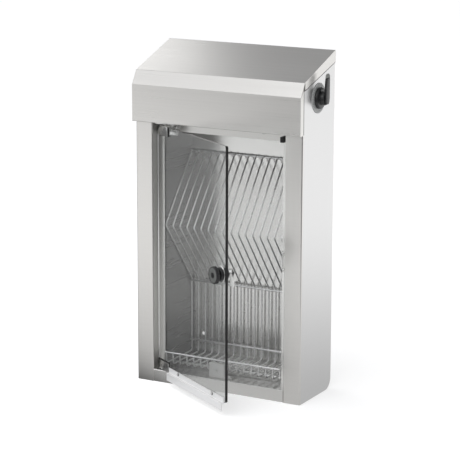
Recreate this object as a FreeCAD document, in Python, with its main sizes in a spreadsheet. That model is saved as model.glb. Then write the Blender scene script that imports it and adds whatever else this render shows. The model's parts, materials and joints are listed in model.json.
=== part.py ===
import FreeCAD, Part
import math
import os

import Sketcher

Vector = FreeCAD.Vector

doc = FreeCAD.newDocument("KnifeSterilizer")
sheet = doc.addObject("Spreadsheet::Sheet", "Sizes")

# Driving dimensions, in millimetres and degrees. X is across the front, Y runs to the back, Z is up.
DIMENSIONS = (
    ("casing_width", 350, "over the two side panels"),
    ("casing_depth", 130, "from the stiles' front plane to the back"),
    ("casing_height", 648, "at the rear edge of the sloping top"),
    ("sheet_gauge", 1.2, "stainless sheet of the casing"),
    ("corner_radius", 22, "round corner between back and base"),
    ("bend_radius", 2, "outside radius of a folded edge"),
    ("back_height", 627.5, "top edge of the back panel"),
    ("stile_width", 35, "front face beside the door"),
    ("recess_depth", 23, "from the stiles' face back to the lips"),
    ("lip_width", 16, "lip behind the door's edge"),
    ("floor_height", 24.5, "top of the chamber floor"),
    ("apron_gap", 1.5, "lower edge of the floor's front apron"),
    ("ledge_height", 505, "underside of the ledge above the door"),
    ("top_lip_height", 488, "lower edge of the lip above the door"),
    ("tray_height", 533, "underside of the lamp tray"),
    ("liner_gauge", 1, "sheet of the chamber's side walls"),
    ("liner_flange", 15, "flanges of the chamber's side walls"),
    ("fascia_reach", 12, "fascia in front of the stiles"),
    ("fascia_bottom", 506.5, "lower edge of the fascia"),
    ("fascia_top", 577, "bend between fascia and facet"),
    ("facet_top", 602, "bend between facet and sloping top"),
    ("facet_run", 3, "that bend's distance behind the stiles' face"),
    ("hood_gap", 0.2, "between hood flange and side panel"),
    ("seam_rear", 626, "hood flange's lower edge at the back"),
    ("seam_front", 590, "hood flange's lower edge near the front"),
    ("door_open", 32, "degrees that the door stands open at rest"),
    ("pin_across", 124.2, "hinge pin, left of the middle"),
    ("pin_behind", 6.5, "hinge pin, behind the stiles' face"),
    ("pin_radius", 2.5, "hinge pins"),
    ("pin_play", 0.05, "radial clearance of a pin in its bush"),
    ("glass_gauge", 5, "door pane"),
    ("glass_stub", 10, "pane beyond the hinge pin"),
    ("glass_reach", 252.2, "pane from the hinge pin to its free edge"),
    ("glass_bottom", 27.3, "lower edge of the pane"),
    ("glass_top", 500, "upper edge of the pane"),
    ("clip_length", 42, "hinge clips along the pane"),
    ("clip_height", 17, "hinge clips up the pane"),
    ("clip_gauge", 1.2, "hinge clips' sheet"),
    ("pad_gauge", 0.5, "rubber between clip and pane"),
    ("profile_top", 37, "upper edge of the door's bottom profile"),
    ("profile_crease", 27, "its joggle"),
    ("profile_bottom", 12.5, "its lower edge"),
    ("lock_across", 112, "lock axis, right of the middle with the door shut"),
    ("lock_height", 265, "lock axis above the base"),
    ("knob_radius", 16, "lock knob"),
    ("cam_reach", 26, "lock cam from its axis"),
    ("dial_behind", 62, "timer axis, behind the stiles' face"),
    ("dial_height", 567, "timer axis above the base"),
    ("dial_radius", 28, "timer's dial plate"),
    ("skirt_radius", 20, "timer knob's skirt"),
    ("lever_reach", 46, "timer lever above its axis"),
    ("rack_wire_radius", 1.5, "upright wires of the rack"),
    ("rack_rod_radius", 2, "cross rods of the rack"),
    ("rack_wires_count", 17, "upright wires"),
    ("rack_pitch", 15.2, "between the upright wires"),
    ("rack_back", 57, "rear plane of the rack's wires"),
    ("rack_apex_depth", -41, "the wires' foremost bend"),
    ("rack_apex_height", 306, "that bend above the base"),
    ("rack_top", 437, "top ends of the wires"),
    ("rack_shoulder", 433.5, "bend below the top ends"),
    ("rack_knee", 181, "bend where the wires meet the back again"),
    ("rack_floor", 34, "basket floor"),
    ("rack_front", -42, "front uprights of the basket"),
    ("rack_rim", 58, "top of the basket's front"),
    ("rack_rest_gap", 0.1, "top bar above its hooks"),
    ("wall_hole_across", 198, "between the wall screws, side to side"),
    ("wall_hole_rise", 410, "between the wall screws, up and down"),
    ("wall_hole_low", 70, "lower wall screws above the base"),
    ("wall_hole_radius", 3.5, "wall screw holes"),
    ("lamp_height", 514, "lamp axis above the base"),
    ("lamp_depth", -25, "lamp axis"),
    ("lamp_length", 212, "lamp over its metal caps"),
    ("lamp_radius", 7.9, "lamp tube"),
    ("gland_behind", 95, "cable gland, behind the stiles' face"),
    ("gland_height", 570, "cable gland above the base"),
)


class Size:
    """A length that carries its number and the sheet formula that gives it."""

    def __init__(self, number, formula):
        self.number = number
        self.formula = formula

    def __add__(self, other):
        other = as_size(other)
        return Size(self.number + other.number, f"({self.formula} + {other.formula})")

    def __sub__(self, other):
        other = as_size(other)
        return Size(self.number - other.number, f"({self.formula} - {other.formula})")

    def __mul__(self, other):
        other = as_size(other)
        return Size(self.number * other.number, f"({self.formula} * {other.formula})")

    def __truediv__(self, other):
        other = as_size(other)
        return Size(self.number / other.number, f"({self.formula} / {other.formula})")

    def __neg__(self):
        return Size(-self.number, f"(-1 * {self.formula})")

    __radd__ = __add__
    __rmul__ = __mul__

    def __rsub__(self, other):
        return as_size(other) - self


def as_size(value):
    """Take a plain number as a size whose formula is the number itself."""
    return value if isinstance(value, Size) else Size(float(value), f"{float(value):.6f}")


class Sizes:
    """The driving dimensions by name."""


size = Sizes()
for row, (alias, value, note) in enumerate(DIMENSIONS, 1):
    sheet.set(f"A{row}", alias)
    sheet.set(f"B{row}", str(value))
    sheet.set(f"C{row}", note)
    sheet.setAlias(f"B{row}", alias)
    setattr(size, alias, Size(float(value), f"Sizes.{alias}"))
doc.recompute()

# Planes of the casing that the pieces share.
gauge = size.sheet_gauge
half = size.casing_width / 2
front = -size.casing_depth / 2
back = size.casing_depth / 2
recess = half - size.stile_width
chamber = recess - size.lip_width
lip = front + size.recess_depth
floor_top = size.floor_height
tray = size.tray_height
slip = 0.2

nodes = []


def bind(thing, path, value):
    """Tie one property of an object to the sheet."""
    thing.setExpression(path, as_size(value).formula)


def node(thing, name):
    """Name a finished sub-part, which is written to a file of that name."""
    thing.Label = name
    nodes.append(thing)
    return thing


def new_body(name):
    return node(doc.addObject("PartDesign::Body", name + "_body"), name)


def new_sketch(body, name, plane, level):
    """A sketch on one of the body's own planes, moved along that plane's normal."""
    sketch = body.newObject("Sketcher::SketchObject", name + "Sketch")
    support = [item for item in body.Origin.OriginFeatures if item.Role == plane]
    sketch.AttachmentSupport = [(support[0], "")]
    sketch.MapMode = "FlatFace"
    bind(sketch, "AttachmentOffset.Base.z", level)
    return sketch


def hold(sketch, kind, geometry, point, value):
    """Dimension one point of a sketch from the origin, along X or Y."""
    value = as_size(value)
    index = sketch.addConstraint(Sketcher.Constraint(kind, -1, 1, geometry, point, value.number))
    bind(sketch, f"Constraints[{index}]", value)


def draw_outline(sketch, outline):
    """A closed outline of straight lines, with every corner dimensioned."""
    corners = [(as_size(a), as_size(b)) for a, b in outline]
    following = corners[1:] + corners[:1]
    for (a, b), (c, d) in zip(corners, following):
        start = Vector(a.number, b.number, 0)
        sketch.addGeometry(Part.LineSegment(start, Vector(c.number, d.number, 0)), False)
    for index in range(len(corners)):
        after = (index + 1) % len(corners)
        sketch.addConstraint(Sketcher.Constraint("Coincident", index, 2, after, 1))
    for index, (a, b) in enumerate(corners):
        hold(sketch, "DistanceX", index, 1, a)
        hold(sketch, "DistanceY", index, 1, b)


def draw_circles(sketch, circles):
    """Circles given by their centre and radius."""
    for index, (a, b, radius) in enumerate(circles):
        a, b, radius = as_size(a), as_size(b), as_size(radius)
        centre = Vector(a.number, b.number, 0)
        sketch.addGeometry(Part.Circle(centre, Vector(0, 0, 1), radius.number), False)
        hold(sketch, "DistanceX", index, 3, a)
        hold(sketch, "DistanceY", index, 3, b)
        at = sketch.addConstraint(Sketcher.Constraint("Radius", index, radius.number))
        bind(sketch, f"Constraints[{at}]", radius)


def slab(body, name, plane, outline, low, high):
    """A plate of the body: an outline on one plane, filling the space from low to high across it."""
    level = -as_size(high) if plane == "XZ_Plane" else low
    sketch = new_sketch(body, name, plane, level)
    draw_outline(sketch, outline)
    pad = body.newObject("PartDesign::Pad", name)
    pad.Profile = sketch
    bind(pad, "Length", high - low)
    return pad


def cut_out(body, name, plane, low, high, outline=(), circles=()):
    """An opening through the body from high to low across the plane."""
    doc.recompute()
    before = body.Shape.Volume
    level = -as_size(low) if plane == "XZ_Plane" else high
    sketch = new_sketch(body, name, plane, level)
    if outline:
        draw_outline(sketch, outline)
    draw_circles(sketch, circles)
    pocket = body.newObject("PartDesign::Pocket", name)
    pocket.Profile = sketch
    bind(pocket, "Length", high - low)
    doc.recompute()
    if body.Shape.Volume >= before:
        raise RuntimeError(f"{name} of {body.Label} cuts nothing")
    return pocket


def round_edges(body, name, radius, *lines):
    """Round the edges that lie on lines given by two of their three coordinates."""
    doc.recompute()
    wanted = [[None if a is None else as_size(a).number for a in line] for line in lines]
    names = []
    for index, edge in enumerate(body.Shape.Edges, 1):
        box = edge.BoundBox
        lows = (box.XMin, box.YMin, box.ZMin)
        highs = (box.XMax, box.YMax, box.ZMax)
        for line in wanted:
            off = [max(abs(lows[i] - a), abs(highs[i] - a)) for i, a in enumerate(line) if a is not None]
            if max(off) < 0.01:
                names.append(f"Edge{index}")
    if not names:
        raise RuntimeError(f"{name} of {body.Name} finds no edge")
    before = body.Tip
    fillet = body.newObject("PartDesign::Fillet", name)
    fillet.Base = (before, names)
    bind(fillet, "Radius", radius)
    doc.recompute()
    return fillet


def box(name, low, high):
    """A block between two corners."""
    solid = doc.addObject("Part::Box", name)
    for side, a, b in zip(("Length", "Width", "Height"), low, high):
        bind(solid, side, b - as_size(a))
    for axis, a in zip("xyz", low):
        bind(solid, f"Placement.Base.{axis}", a)
    return solid


TURNS = {
    "X": FreeCAD.Rotation(Vector(0, 1, 0), 90),
    "Y": FreeCAD.Rotation(Vector(1, 0, 0), -90),
    "Z": FreeCAD.Rotation(),
}


def along(solid, axis, low, at):
    """Stand a turned solid on its axis: low is its start, at gives the other two coordinates."""
    places = {"X": (low, at[0], at[1]), "Y": (at[0], low, at[1]), "Z": (at[0], at[1], low)}
    solid.Placement = FreeCAD.Placement(Vector(), TURNS[axis])
    for letter, value in zip("xyz", places[axis]):
        bind(solid, f"Placement.Base.{letter}", value)
    return solid


def rod(name, axis, radius, low, high, at):
    solid = doc.addObject("Part::Cylinder", name)
    bind(solid, "Radius", radius)
    bind(solid, "Height", as_size(high) - low)
    return along(solid, axis, low, at)


def hexagon(name, axis, across_flats, low, high, at):
    solid = doc.addObject("Part::Prism", name)
    solid.Polygon = 6
    bind(solid, "Circumradius", across_flats / math.sqrt(3))
    bind(solid, "Height", as_size(high) - low)
    return along(solid, axis, low, at)


def fused(name, *parts):
    joined = doc.addObject("Part::MultiFuse", name)
    joined.Shapes = list(parts)
    return joined


def less(name, base, *tools):
    """The base with the tools cut away."""
    for index, tool in enumerate(tools, 1):
        cut = doc.addObject("Part::Cut", f"{name}_{index}")
        cut.Base = base
        cut.Tool = tool
        base = cut
    return base


def group(name, parts):
    """Identical pieces that stay separate solids."""
    together = doc.addObject("Part::Compound", name)
    together.Links = list(parts)
    return together


def screw(name, axis, seat, at, way, head, head_height, shank, reach):
    """A pan head on a seat with its shank beyond it; way is the direction that the shank points."""
    seat = as_size(seat)
    if way > 0:
        top = rod(name + "_head", axis, head, seat - head_height, seat, at)
        stem = rod(name + "_shank", axis, shank, seat - head_height / 2, seat + reach, at)
    else:
        top = rod(name + "_head", axis, head, seat, seat + head_height, at)
        stem = rod(name + "_shank", axis, shank, seat - reach, seat + head_height / 2, at)
    return fused(name, top, stem)


def strip(sign, low, high):
    """The same strip on either side of the middle, lowest first."""
    return (low, high) if sign > 0 else (-as_size(high), -as_size(low))


# Back and base, one sheet with a round rear corner, a front upturn and a tongue for the hood.
wrap = new_body("casing_wrap")
wrap_outline = [
    (front + gauge, 0),
    (back, 0),
    (back, size.back_height),
    (back - gauge, size.back_height),
    (back - gauge, gauge),
    (front + gauge, gauge),
]
slab(wrap, "BackAndBase", "YZ_Plane", wrap_outline, -half, half)
round_edges(wrap, "OuterCorner", size.corner_radius, (None, back, 0))
round_edges(wrap, "InnerCorner", size.corner_radius - gauge, (None, back - gauge, gauge))
upturn_height = 18
upturn_outline = [
    (front + gauge, 0),
    (front + gauge * 2, 0),
    (front + gauge * 2, upturn_height),
    (front + gauge, upturn_height),
]
slab(wrap, "FrontUpturn", "YZ_Plane", upturn_outline, -(recess - 0.4), recess - 0.4)
tongue_half = 160
tongue_outline = [
    (back - gauge * 2, size.back_height - 15),
    (back - gauge, size.back_height - 15),
    (back - gauge, size.back_height + 13),
    (back - gauge * 2, size.back_height + 13),
]
slab(wrap, "RearTongue", "YZ_Plane", tongue_outline, -tongue_half, as_size(tongue_half))
wall_holes = [
    (size.wall_hole_across * side / 2, size.wall_hole_low + size.wall_hole_rise * row, size.wall_hole_radius)
    for side in (-1, 1)
    for row in (0, 1)
]
cut_out(wrap, "WallHoles", "XZ_Plane", back - gauge * 1.5, back + 1, circles=wall_holes)

# Side panels, each one sheet folded round the stile into the door recess and behind the door as a lip.
# The sheet is parted at two of its folds: the flat side, the stile with the recess wall, and the lip.
dial_at = (front + size.dial_behind, size.dial_height)
gland_at = (front + size.gland_behind, size.gland_height)
strike_screw_heights = (248.5, 280.5)
strike_across = chamber + 3.6
screw_hole = 1.6
side_front = front + size.facet_run + 1.2
side_front_top = size.facet_top - 2.2
stiles = []
lips = []
for name, sign in (("left", -1), ("right", 1)):
    panel = new_body(f"{name}_side_panel")
    side_outline = [
        (side_front, gauge),
        (back - gauge, gauge),
        (back - gauge, size.casing_height - 2.5),
        (side_front, side_front_top),
    ]
    slab(panel, "Side", "YZ_Plane", side_outline, *strip(sign, half - gauge, half))
    round_edges(panel, "RearCorner", size.corner_radius - gauge, (None, back - gauge, gauge))
    through = [(*dial_at, 5.2)] if sign > 0 else [(*gland_at, 8)]
    low, high = strip(sign, half - gauge * 2, half + 1)
    cut_out(panel, "SideHole", "YZ_Plane", low, high, circles=through)

    stile = doc.addObject("PartDesign::Body", f"{name}_stile_body")
    stiles.append(stile)
    fold_outline = [
        (front, gauge),
        (side_front, gauge),
        (side_front, side_front_top),
        (front, size.facet_top - 9),
    ]
    slab(stile, "Fold", "YZ_Plane", fold_outline, *strip(sign, half - gauge, half))
    stile_outline = [
        (sign * half, front),
        (sign * recess, front),
        (sign * recess, front + gauge),
        (sign * half, front + gauge),
    ]
    slab(stile, "Stile", "XY_Plane", stile_outline, as_size(0), tray)
    return_outline = [
        (sign * recess, front),
        (sign * (recess + gauge), front),
        (sign * (recess + gauge), lip + gauge),
        (sign * recess, lip + gauge),
    ]
    slab(stile, "Return", "XY_Plane", return_outline, gauge, tray)
    round_edges(stile, "OuterFold", size.bend_radius, (sign * half, front, None))
    round_edges(stile, "RecessFold", size.bend_radius * 0.8, (sign * recess, front, None))

    low, high = strip(sign, chamber, recess)
    plate = box(f"{name}_lip_plate", (low, lip, floor_top), (high, lip + gauge, tray))
    strike_holes = [
        rod(f"strike_hole_{index}", "Y", screw_hole, lip - 1, lip + 2, (strike_across, height))
        for index, height in enumerate(strike_screw_heights, 1)
        if sign > 0
    ]
    lips.append(less(f"{name}_lip", plate, *strike_holes))
node(group("stile_pair", stiles), "stiles")
node(group("lip_pair", lips), "door_lips")

# Chamber floor, folded down in front as the bottom rail and up against the back.
hinge_at = (-size.pin_across, front + size.pin_behind)
switch_lead_at = (-5, front + 16)
switch_screw_at = (19.0, front + 16)
riser_at = (132, front + 60)
lead_hole = 4
bush_radius = 4
floor_body = new_body("chamber_floor")
floor_outline = [
    (front, size.apron_gap),
    (front, floor_top),
    (back - gauge, floor_top),
    (back - gauge, floor_top - gauge),
    (front + gauge, floor_top - gauge),
    (front + gauge, size.apron_gap),
]
floor_half = recess - slip
slab(floor_body, "Deck", "YZ_Plane", floor_outline, -floor_half, floor_half)
rear_outline = [
    (back - gauge * 2, floor_top - gauge),
    (back - gauge, floor_top - gauge),
    (back - gauge, floor_top + 10),
    (back - gauge * 2, floor_top + 10),
]
slab(floor_body, "RearUpturn", "YZ_Plane", rear_outline, -(chamber - 0.5), chamber - 0.5)
round_edges(floor_body, "FrontFold", size.bend_radius, (None, front, floor_top))
floor_holes = [
    (*hinge_at, bush_radius),
    (*switch_lead_at, 3),
    (*switch_screw_at, screw_hole),
    (*riser_at, lead_hole),
]
cut_out(floor_body, "FloorHoles", "XY_Plane", floor_top - gauge * 2, floor_top + 1, circles=floor_holes)

# Chamber side walls, channels between the lips and the back. The right one is cut away for the cam.
for name, sign in (("left", -1), ("right", 1)):
    liner = new_body(f"chamber_{name}_wall")
    wall = chamber + size.liner_gauge
    edge = chamber + size.liner_flange
    near = lip + gauge
    far = back - gauge
    liner_outline = [
        (sign * chamber, near),
        (sign * edge, near),
        (sign * edge, near + size.liner_gauge),
        (sign * wall, near + size.liner_gauge),
        (sign * wall, far - size.liner_gauge),
        (sign * edge, far - size.liner_gauge),
        (sign * edge, far),
        (sign * chamber, far),
    ]
    slab(liner, "Channel", "XY_Plane", liner_outline, floor_top, tray)
    if sign > 0:
        cam_room = 29
        slot_outline = [
            (chamber - 1, size.lock_height - cam_room),
            (recess, size.lock_height - cam_room),
            (recess, size.lock_height + cam_room),
            (chamber - 1, size.lock_height + cam_room),
        ]
        cut_out(liner, "CamSlot", "XZ_Plane", near - 1, near + 12, slot_outline)

# Top rail, the ledge above the door with a lip behind it, a face behind the fascia and two welded angles.
rail = new_body("top_rail")
ledge = size.ledge_height
rail_outline = [
    (front, ledge),
    (front, tray),
    (front + gauge, tray),
    (front + gauge, ledge + gauge),
    (lip, ledge + gauge),
    (lip, ledge),
]
slab(rail, "FaceAndLedge", "YZ_Plane", rail_outline, -(recess - slip), recess - slip)
top_lip_outline = [
    (lip, size.top_lip_height),
    (lip, tray),
    (lip + gauge, tray),
    (lip + gauge, size.top_lip_height),
]
slab(rail, "TopLip", "YZ_Plane", top_lip_outline, -(chamber - slip), chamber - slip)
cut_out(rail, "PinHole", "XY_Plane", ledge - 1, ledge + 2, circles=[(*hinge_at, 4.5)])
hood_screws_at = [(sign * 100, front - 6) for sign in (-1, 1)]
hood_holes = [(*at, 2.1) for at in hood_screws_at]
angle_base = size.fascia_bottom + gauge
angle_gauge = 1.5
angle_outline = [
    (front - 10, angle_base),
    (front, angle_base),
    (front, angle_base + 16),
    (front - angle_gauge, angle_base + 16),
    (front - angle_gauge, angle_base + angle_gauge),
    (front - 10, angle_base + angle_gauge),
]
for index, (across, _) in enumerate(hood_screws_at, 1):
    slab(rail, f"HoodAngle{index}", "YZ_Plane", angle_outline, as_size(across - 10), as_size(across + 10))
cut_out(rail, "AngleHoles", "XY_Plane", angle_base - 1, angle_base + 3, circles=hood_holes)
bracket_screws_at = [(across, 496) for across in (-116, -100)]
bracket_holes = [(*at, screw_hole) for at in bracket_screws_at]
cut_out(rail, "BracketHoles", "XZ_Plane", lip - 1, lip + 2, circles=bracket_holes)

# Lamp tray, the partition between the chamber and the control space.
tray_body = new_body("lamp_tray")
tray_top = tray + gauge
tray_outline = [
    (front + slip, tray),
    (front + slip, tray + 16),
    (front + slip + gauge, tray + 16),
    (front + slip + gauge, tray_top),
    (back - gauge - slip, tray_top),
    (back - gauge - slip, tray),
]
tray_half = half - gauge - slip
slab(tray_body, "Deck", "YZ_Plane", tray_outline, -tray_half, tray_half)
lamp_lead_at = (-116, -2)
earth_at = (90, -30)
tray_holes = [(*riser_at, lead_hole), (*lamp_lead_at, lead_hole), (*earth_at, 2)]
cut_out(tray_body, "LeadHoles", "XY_Plane", tray - 1, tray_top + 1, circles=tray_holes)

# Hood, one folded sheet: fascia, facet, sloping top and rear flange, with flanges over the side panels.
hood = new_body("hood")
fascia = front - size.fascia_reach
hood_edge = half + size.hood_gap + gauge
skin_outline = [
    (fascia, size.fascia_bottom),
    (fascia, size.fascia_top),
    (front + size.facet_run, size.facet_top),
    (back, size.casing_height),
    (back, size.back_height + 1),
    (back - gauge, size.back_height + 1),
    (back - gauge, size.casing_height - 1.7),
    (front + size.facet_run + 0.8, size.facet_top - 1),
    (fascia + gauge, size.fascia_top - 0.35),
    (fascia + gauge, size.fascia_bottom + gauge),
    (front - slip, size.fascia_bottom + gauge),
    (front - slip, size.fascia_bottom),
]
slab(hood, "Skin", "YZ_Plane", skin_outline, -hood_edge, hood_edge)
round_edges(hood, "TopFold", size.bend_radius, (None, back, size.casing_height))
round_edges(hood, "SlopeFold", size.bend_radius, (None, front + size.facet_run, size.facet_top))
round_edges(hood, "FacetFold", size.bend_radius, (None, fascia, size.fascia_top))
round_edges(hood, "FasciaFold", size.bend_radius * 0.8, (None, fascia, size.fascia_bottom))
cut_out(hood, "HoodHoles", "XY_Plane", size.fascia_bottom - 1, size.fascia_bottom + 2, circles=hood_holes)
flange_outline = [
    (back - 0.6, size.casing_height - 0.8),
    (back - 0.6, size.seam_rear),
    (front + 10.7, size.seam_front),
    (front + 5, size.seam_front - 1.5),
    (front + 5, size.facet_top - 0.2),
]
cheek_outline = [
    (fascia + 0.6, size.fascia_bottom + 0.6),
    (fascia + 0.6, size.fascia_top - 0.6),
    (fascia + gauge * 1.5, size.fascia_top - 0.6),
    (front - slip, size.facet_top - 11),
    (front - slip, size.fascia_bottom + 0.6),
]
for name, sign in (("Left", -1), ("Right", 1)):
    sides = strip(sign, half + size.hood_gap, hood_edge)
    slab(hood, f"{name}Flange", "YZ_Plane", flange_outline, *sides)
    slab(hood, f"{name}Cheek", "YZ_Plane", cheek_outline, *sides)

# Hood screws, driven from below through the fascia's return into the top rail's angles.
hood_screws = [
    screw(f"hood_screw_{index}", "Z", size.fascia_bottom, at, 1, 3.5, 1.8, 2, 8)
    for index, at in enumerate(hood_screws_at, 1)
]

# Rack hooks, spot-welded to the back panel between the rack's second and third wires from either side.
weld_depth = 0.2
touch = size.rack_wire_radius + size.rack_rod_radius - weld_depth
top_bar_depth = size.rack_back + touch
top_bar_height = size.rack_shoulder + 1
hook_half = 2.5
hook_gauge = 1.5
hook_plate_below = 14
hook_plate_above = 5
hook_nose_rise = 4
hook_across = size.rack_pitch * (size.rack_wires_count - 4) / 2
hook_seat = top_bar_height - size.rack_rod_radius - size.rack_rest_gap
hook_under = hook_seat - hook_gauge
hook_rear = back - gauge
hook_front = size.rack_back - hook_gauge
hooks = []
for index, across in enumerate((-hook_across, hook_across), 1):
    left, right = across - hook_half, across + hook_half
    plate = box(f"hook_plate_{index}", (left, hook_rear - 1, hook_seat - hook_plate_below),
                (right, hook_rear, hook_seat + hook_plate_above))
    shelf = box(f"hook_shelf_{index}", (left, hook_front, hook_under), (right, hook_rear, hook_seat))
    nose = box(f"hook_nose_{index}", (left, hook_front, hook_under),
               (right, size.rack_back, hook_seat + hook_nose_rise))
    hooks.append(fused(f"hook_{index}", plate, shelf, nose))
node(group("hooks_together", hooks), "rack_hooks")


def bent_line(points, radii):
    """A path of straight runs joined by tangent arcs, one radius for each inner point."""
    edges = []
    start = points[0]
    for before, corner, after, radius in zip(points, points[1:], points[2:], radii):
        into = (corner - before).normalize()
        out = (after - corner).normalize()
        turn = into.getAngle(out)
        setback = radius * math.tan(turn / 2)
        first = corner - into * setback
        last = corner + out * setback
        inward = (out - into).normalize()
        middle = corner + inward * (radius / math.cos(turn / 2) - radius)
        edges.append(Part.LineSegment(start, first).toShape())
        edges.append(Part.Arc(first, middle, last).toShape())
        start = last
    edges.append(Part.LineSegment(start, points[-1]).toShape())
    return Part.Wire(edges)


def round_wire(path, radius):
    """A round wire along a path."""
    start = path.Edges[0]
    profile = Part.Wire(Part.makeCircle(radius, start.valueAt(start.FirstParameter),
                                        start.tangentAt(start.FirstParameter)))
    return path.makePipeShell([profile], True, False)


def shape_node(name, shape, place=FreeCAD.Placement()):
    """A sub-part whose shape is worked out from the sheet by the code around it."""
    feature = doc.addObject("Part::Feature", name + "_shape")
    feature.Shape = shape
    feature.Placement = place
    return node(feature, name)


# Rack wires: each is one bent wire, kept here as its runs so that the spaces between them stay open.
rack_back = sheet.rack_back
rack_path = [
    Vector(0, rack_back, sheet.rack_top),
    Vector(0, rack_back, sheet.rack_shoulder),
    Vector(0, sheet.rack_apex_depth, sheet.rack_apex_height),
    Vector(0, rack_back, sheet.rack_knee),
    Vector(0, rack_back, sheet.rack_floor),
    Vector(0, sheet.rack_front, sheet.rack_floor),
    Vector(0, sheet.rack_front, sheet.rack_rim),
]
basket_bend = 6
rack_wire = round_wire(bent_line(rack_path, (4, 5, 4, basket_bend, basket_bend)), sheet.rack_wire_radius)
basket_split = sheet.rack_floor + basket_bend
beyond = 100
runs = (
    ("rack_upper_wires", -beyond, beyond, sheet.rack_apex_height, sheet.rack_top + 1),
    ("rack_lower_wires", -beyond, beyond, sheet.rack_knee, sheet.rack_apex_height),
    ("rack_back_wires", 0, beyond, basket_split, sheet.rack_knee),
    ("rack_floor_wires", -beyond, beyond, 0, basket_split),
    ("rack_front_wires", -beyond, 0, basket_split, sheet.rack_rim + 1),
)
wire_count = int(sheet.rack_wires_count)
first_wire = -sheet.rack_pitch * (wire_count - 1) / 2
for name, y_low, y_high, z_low, z_high in runs:
    zone = Part.makeBox(20, y_high - y_low, z_high - z_low, Vector(-10, y_low, z_low))
    run = rack_wire.common(zone).Solids[0]
    places = [Vector(first_wire + sheet.rack_pitch * index, 0, 0) for index in range(wire_count)]
    shape_node(name, Part.makeCompound([run.translated(place) for place in places]))

# Cross rods, resistance-welded to the wires: the top bar, the knee rod, the basket's three and its rim.
rod_reach = size.rack_pitch * (size.rack_wires_count - 1) / 2 + 1.5
below_knee = 3
basket_bar_rise = 24
rod_places = (
    (top_bar_depth, top_bar_height),
    (size.rack_back - touch, size.rack_knee - below_knee),
    (size.rack_back - touch, size.rack_floor + basket_bar_rise),
    (as_size(28), size.rack_floor - touch),
    (as_size(-14), size.rack_floor - touch),
    (size.rack_front - touch, size.rack_rim - 1.5),
)
rods = [
    rod(f"rack_rod_{index}", "X", size.rack_rod_radius, -rod_reach, rod_reach, place)
    for index, place in enumerate(rod_places, 1)
]
node(group("rods_together", rods), "rack_cross_rods")

# The door is drawn shut here and turned open about its hinge pins at the end of each piece.
pin = Vector(-sheet.pin_across, -sheet.casing_depth / 2 + sheet.pin_behind, 0)
door_swing = FreeCAD.Placement(Vector(), FreeCAD.Rotation(Vector(0, 0, 1), -sheet.door_open), pin)


def door_node(thing, name):
    thing.Placement = door_swing
    return node(thing, name)


# Door pane, clear glass with holes for the lock and the bottom profile's screws.
pane_front = front + size.pin_behind - size.glass_gauge / 2
pane_rear = pane_front + size.glass_gauge
pane_left = -size.pin_across - size.glass_stub
pane_right = -size.pin_across + size.glass_reach
profile_screws_at = [(-size.pin_across + along_door, 33.5) for along_door in (72, 205)]
pane = doc.addObject("PartDesign::Body", "door_glass_body")
pane_outline = [
    (pane_left, size.glass_bottom),
    (pane_right, size.glass_bottom),
    (pane_right, size.glass_top),
    (pane_left, size.glass_top),
]
slab(pane, "Pane", "XZ_Plane", pane_outline, pane_front, pane_rear)
pane_corner = 2.5
round_edges(pane, "Corners", as_size(pane_corner),
            *[(across, None, height) for across, height in pane_outline])
lock_at = (size.lock_across, size.lock_height)
pane_holes = [(*lock_at, 8)] + [(*at, 2.6) for at in profile_screws_at]
cut_out(pane, "PaneHoles", "XZ_Plane", pane_front - 1, pane_rear + 1, circles=pane_holes)
door_node(pane, "door_glass")

# Edge strip, a black seal on the pane's free edge.
edge_strip = box("edge_strip_box", (pane_right, pane_front, size.glass_bottom + pane_corner),
                 (pane_right + 0.9, pane_rear, size.glass_top - pane_corner))
door_node(group("edge_strip", [edge_strip]), "door_edge_strip")

# Bottom profile, a bright joggled strip that covers the gap above the bottom rail.
profile = doc.addObject("PartDesign::Body", "profile_body")
cover_rear = front - 0.7
cover_front = cover_rear - gauge
profile_outline = [
    (pane_front - gauge, size.profile_top),
    (pane_front, size.profile_top),
    (pane_front, size.profile_crease - gauge),
    (cover_rear, size.profile_crease - gauge),
    (cover_rear, size.profile_bottom),
    (cover_front, size.profile_bottom),
    (cover_front, size.profile_crease),
    (pane_front - gauge, size.profile_crease),
]
slab(profile, "Section", "YZ_Plane", profile_outline, -size.pin_across + 34, pane_right - 4)
round_edges(profile, "CoverFold", as_size(1.1), (None, cover_front, size.profile_crease))
cut_out(profile, "ProfileHoles", "XZ_Plane", pane_front - 3, pane_front + 1,
        circles=[(*at, 2.1) for at in profile_screws_at])
door_node(profile, "door_bottom_profile")
profile_fasteners = []
for index, at in enumerate(profile_screws_at, 1):
    profile_fasteners.append(screw(f"profile_screw_{index}", "Y", pane_front - gauge, at, 1, 3.3, 2, 2, 9))
    nut = hexagon(f"profile_nut_hex_{index}", "Y", 7, pane_rear, pane_rear + 2.4, at)
    bore = rod(f"profile_nut_bore_{index}", "Y", 2.05, pane_rear - 1, pane_rear + 4, at)
    profile_fasteners.append(less(f"profile_nut_{index}", nut, bore))
door_node(group("profile_fastener_set", profile_fasteners), "profile_fasteners")

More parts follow.
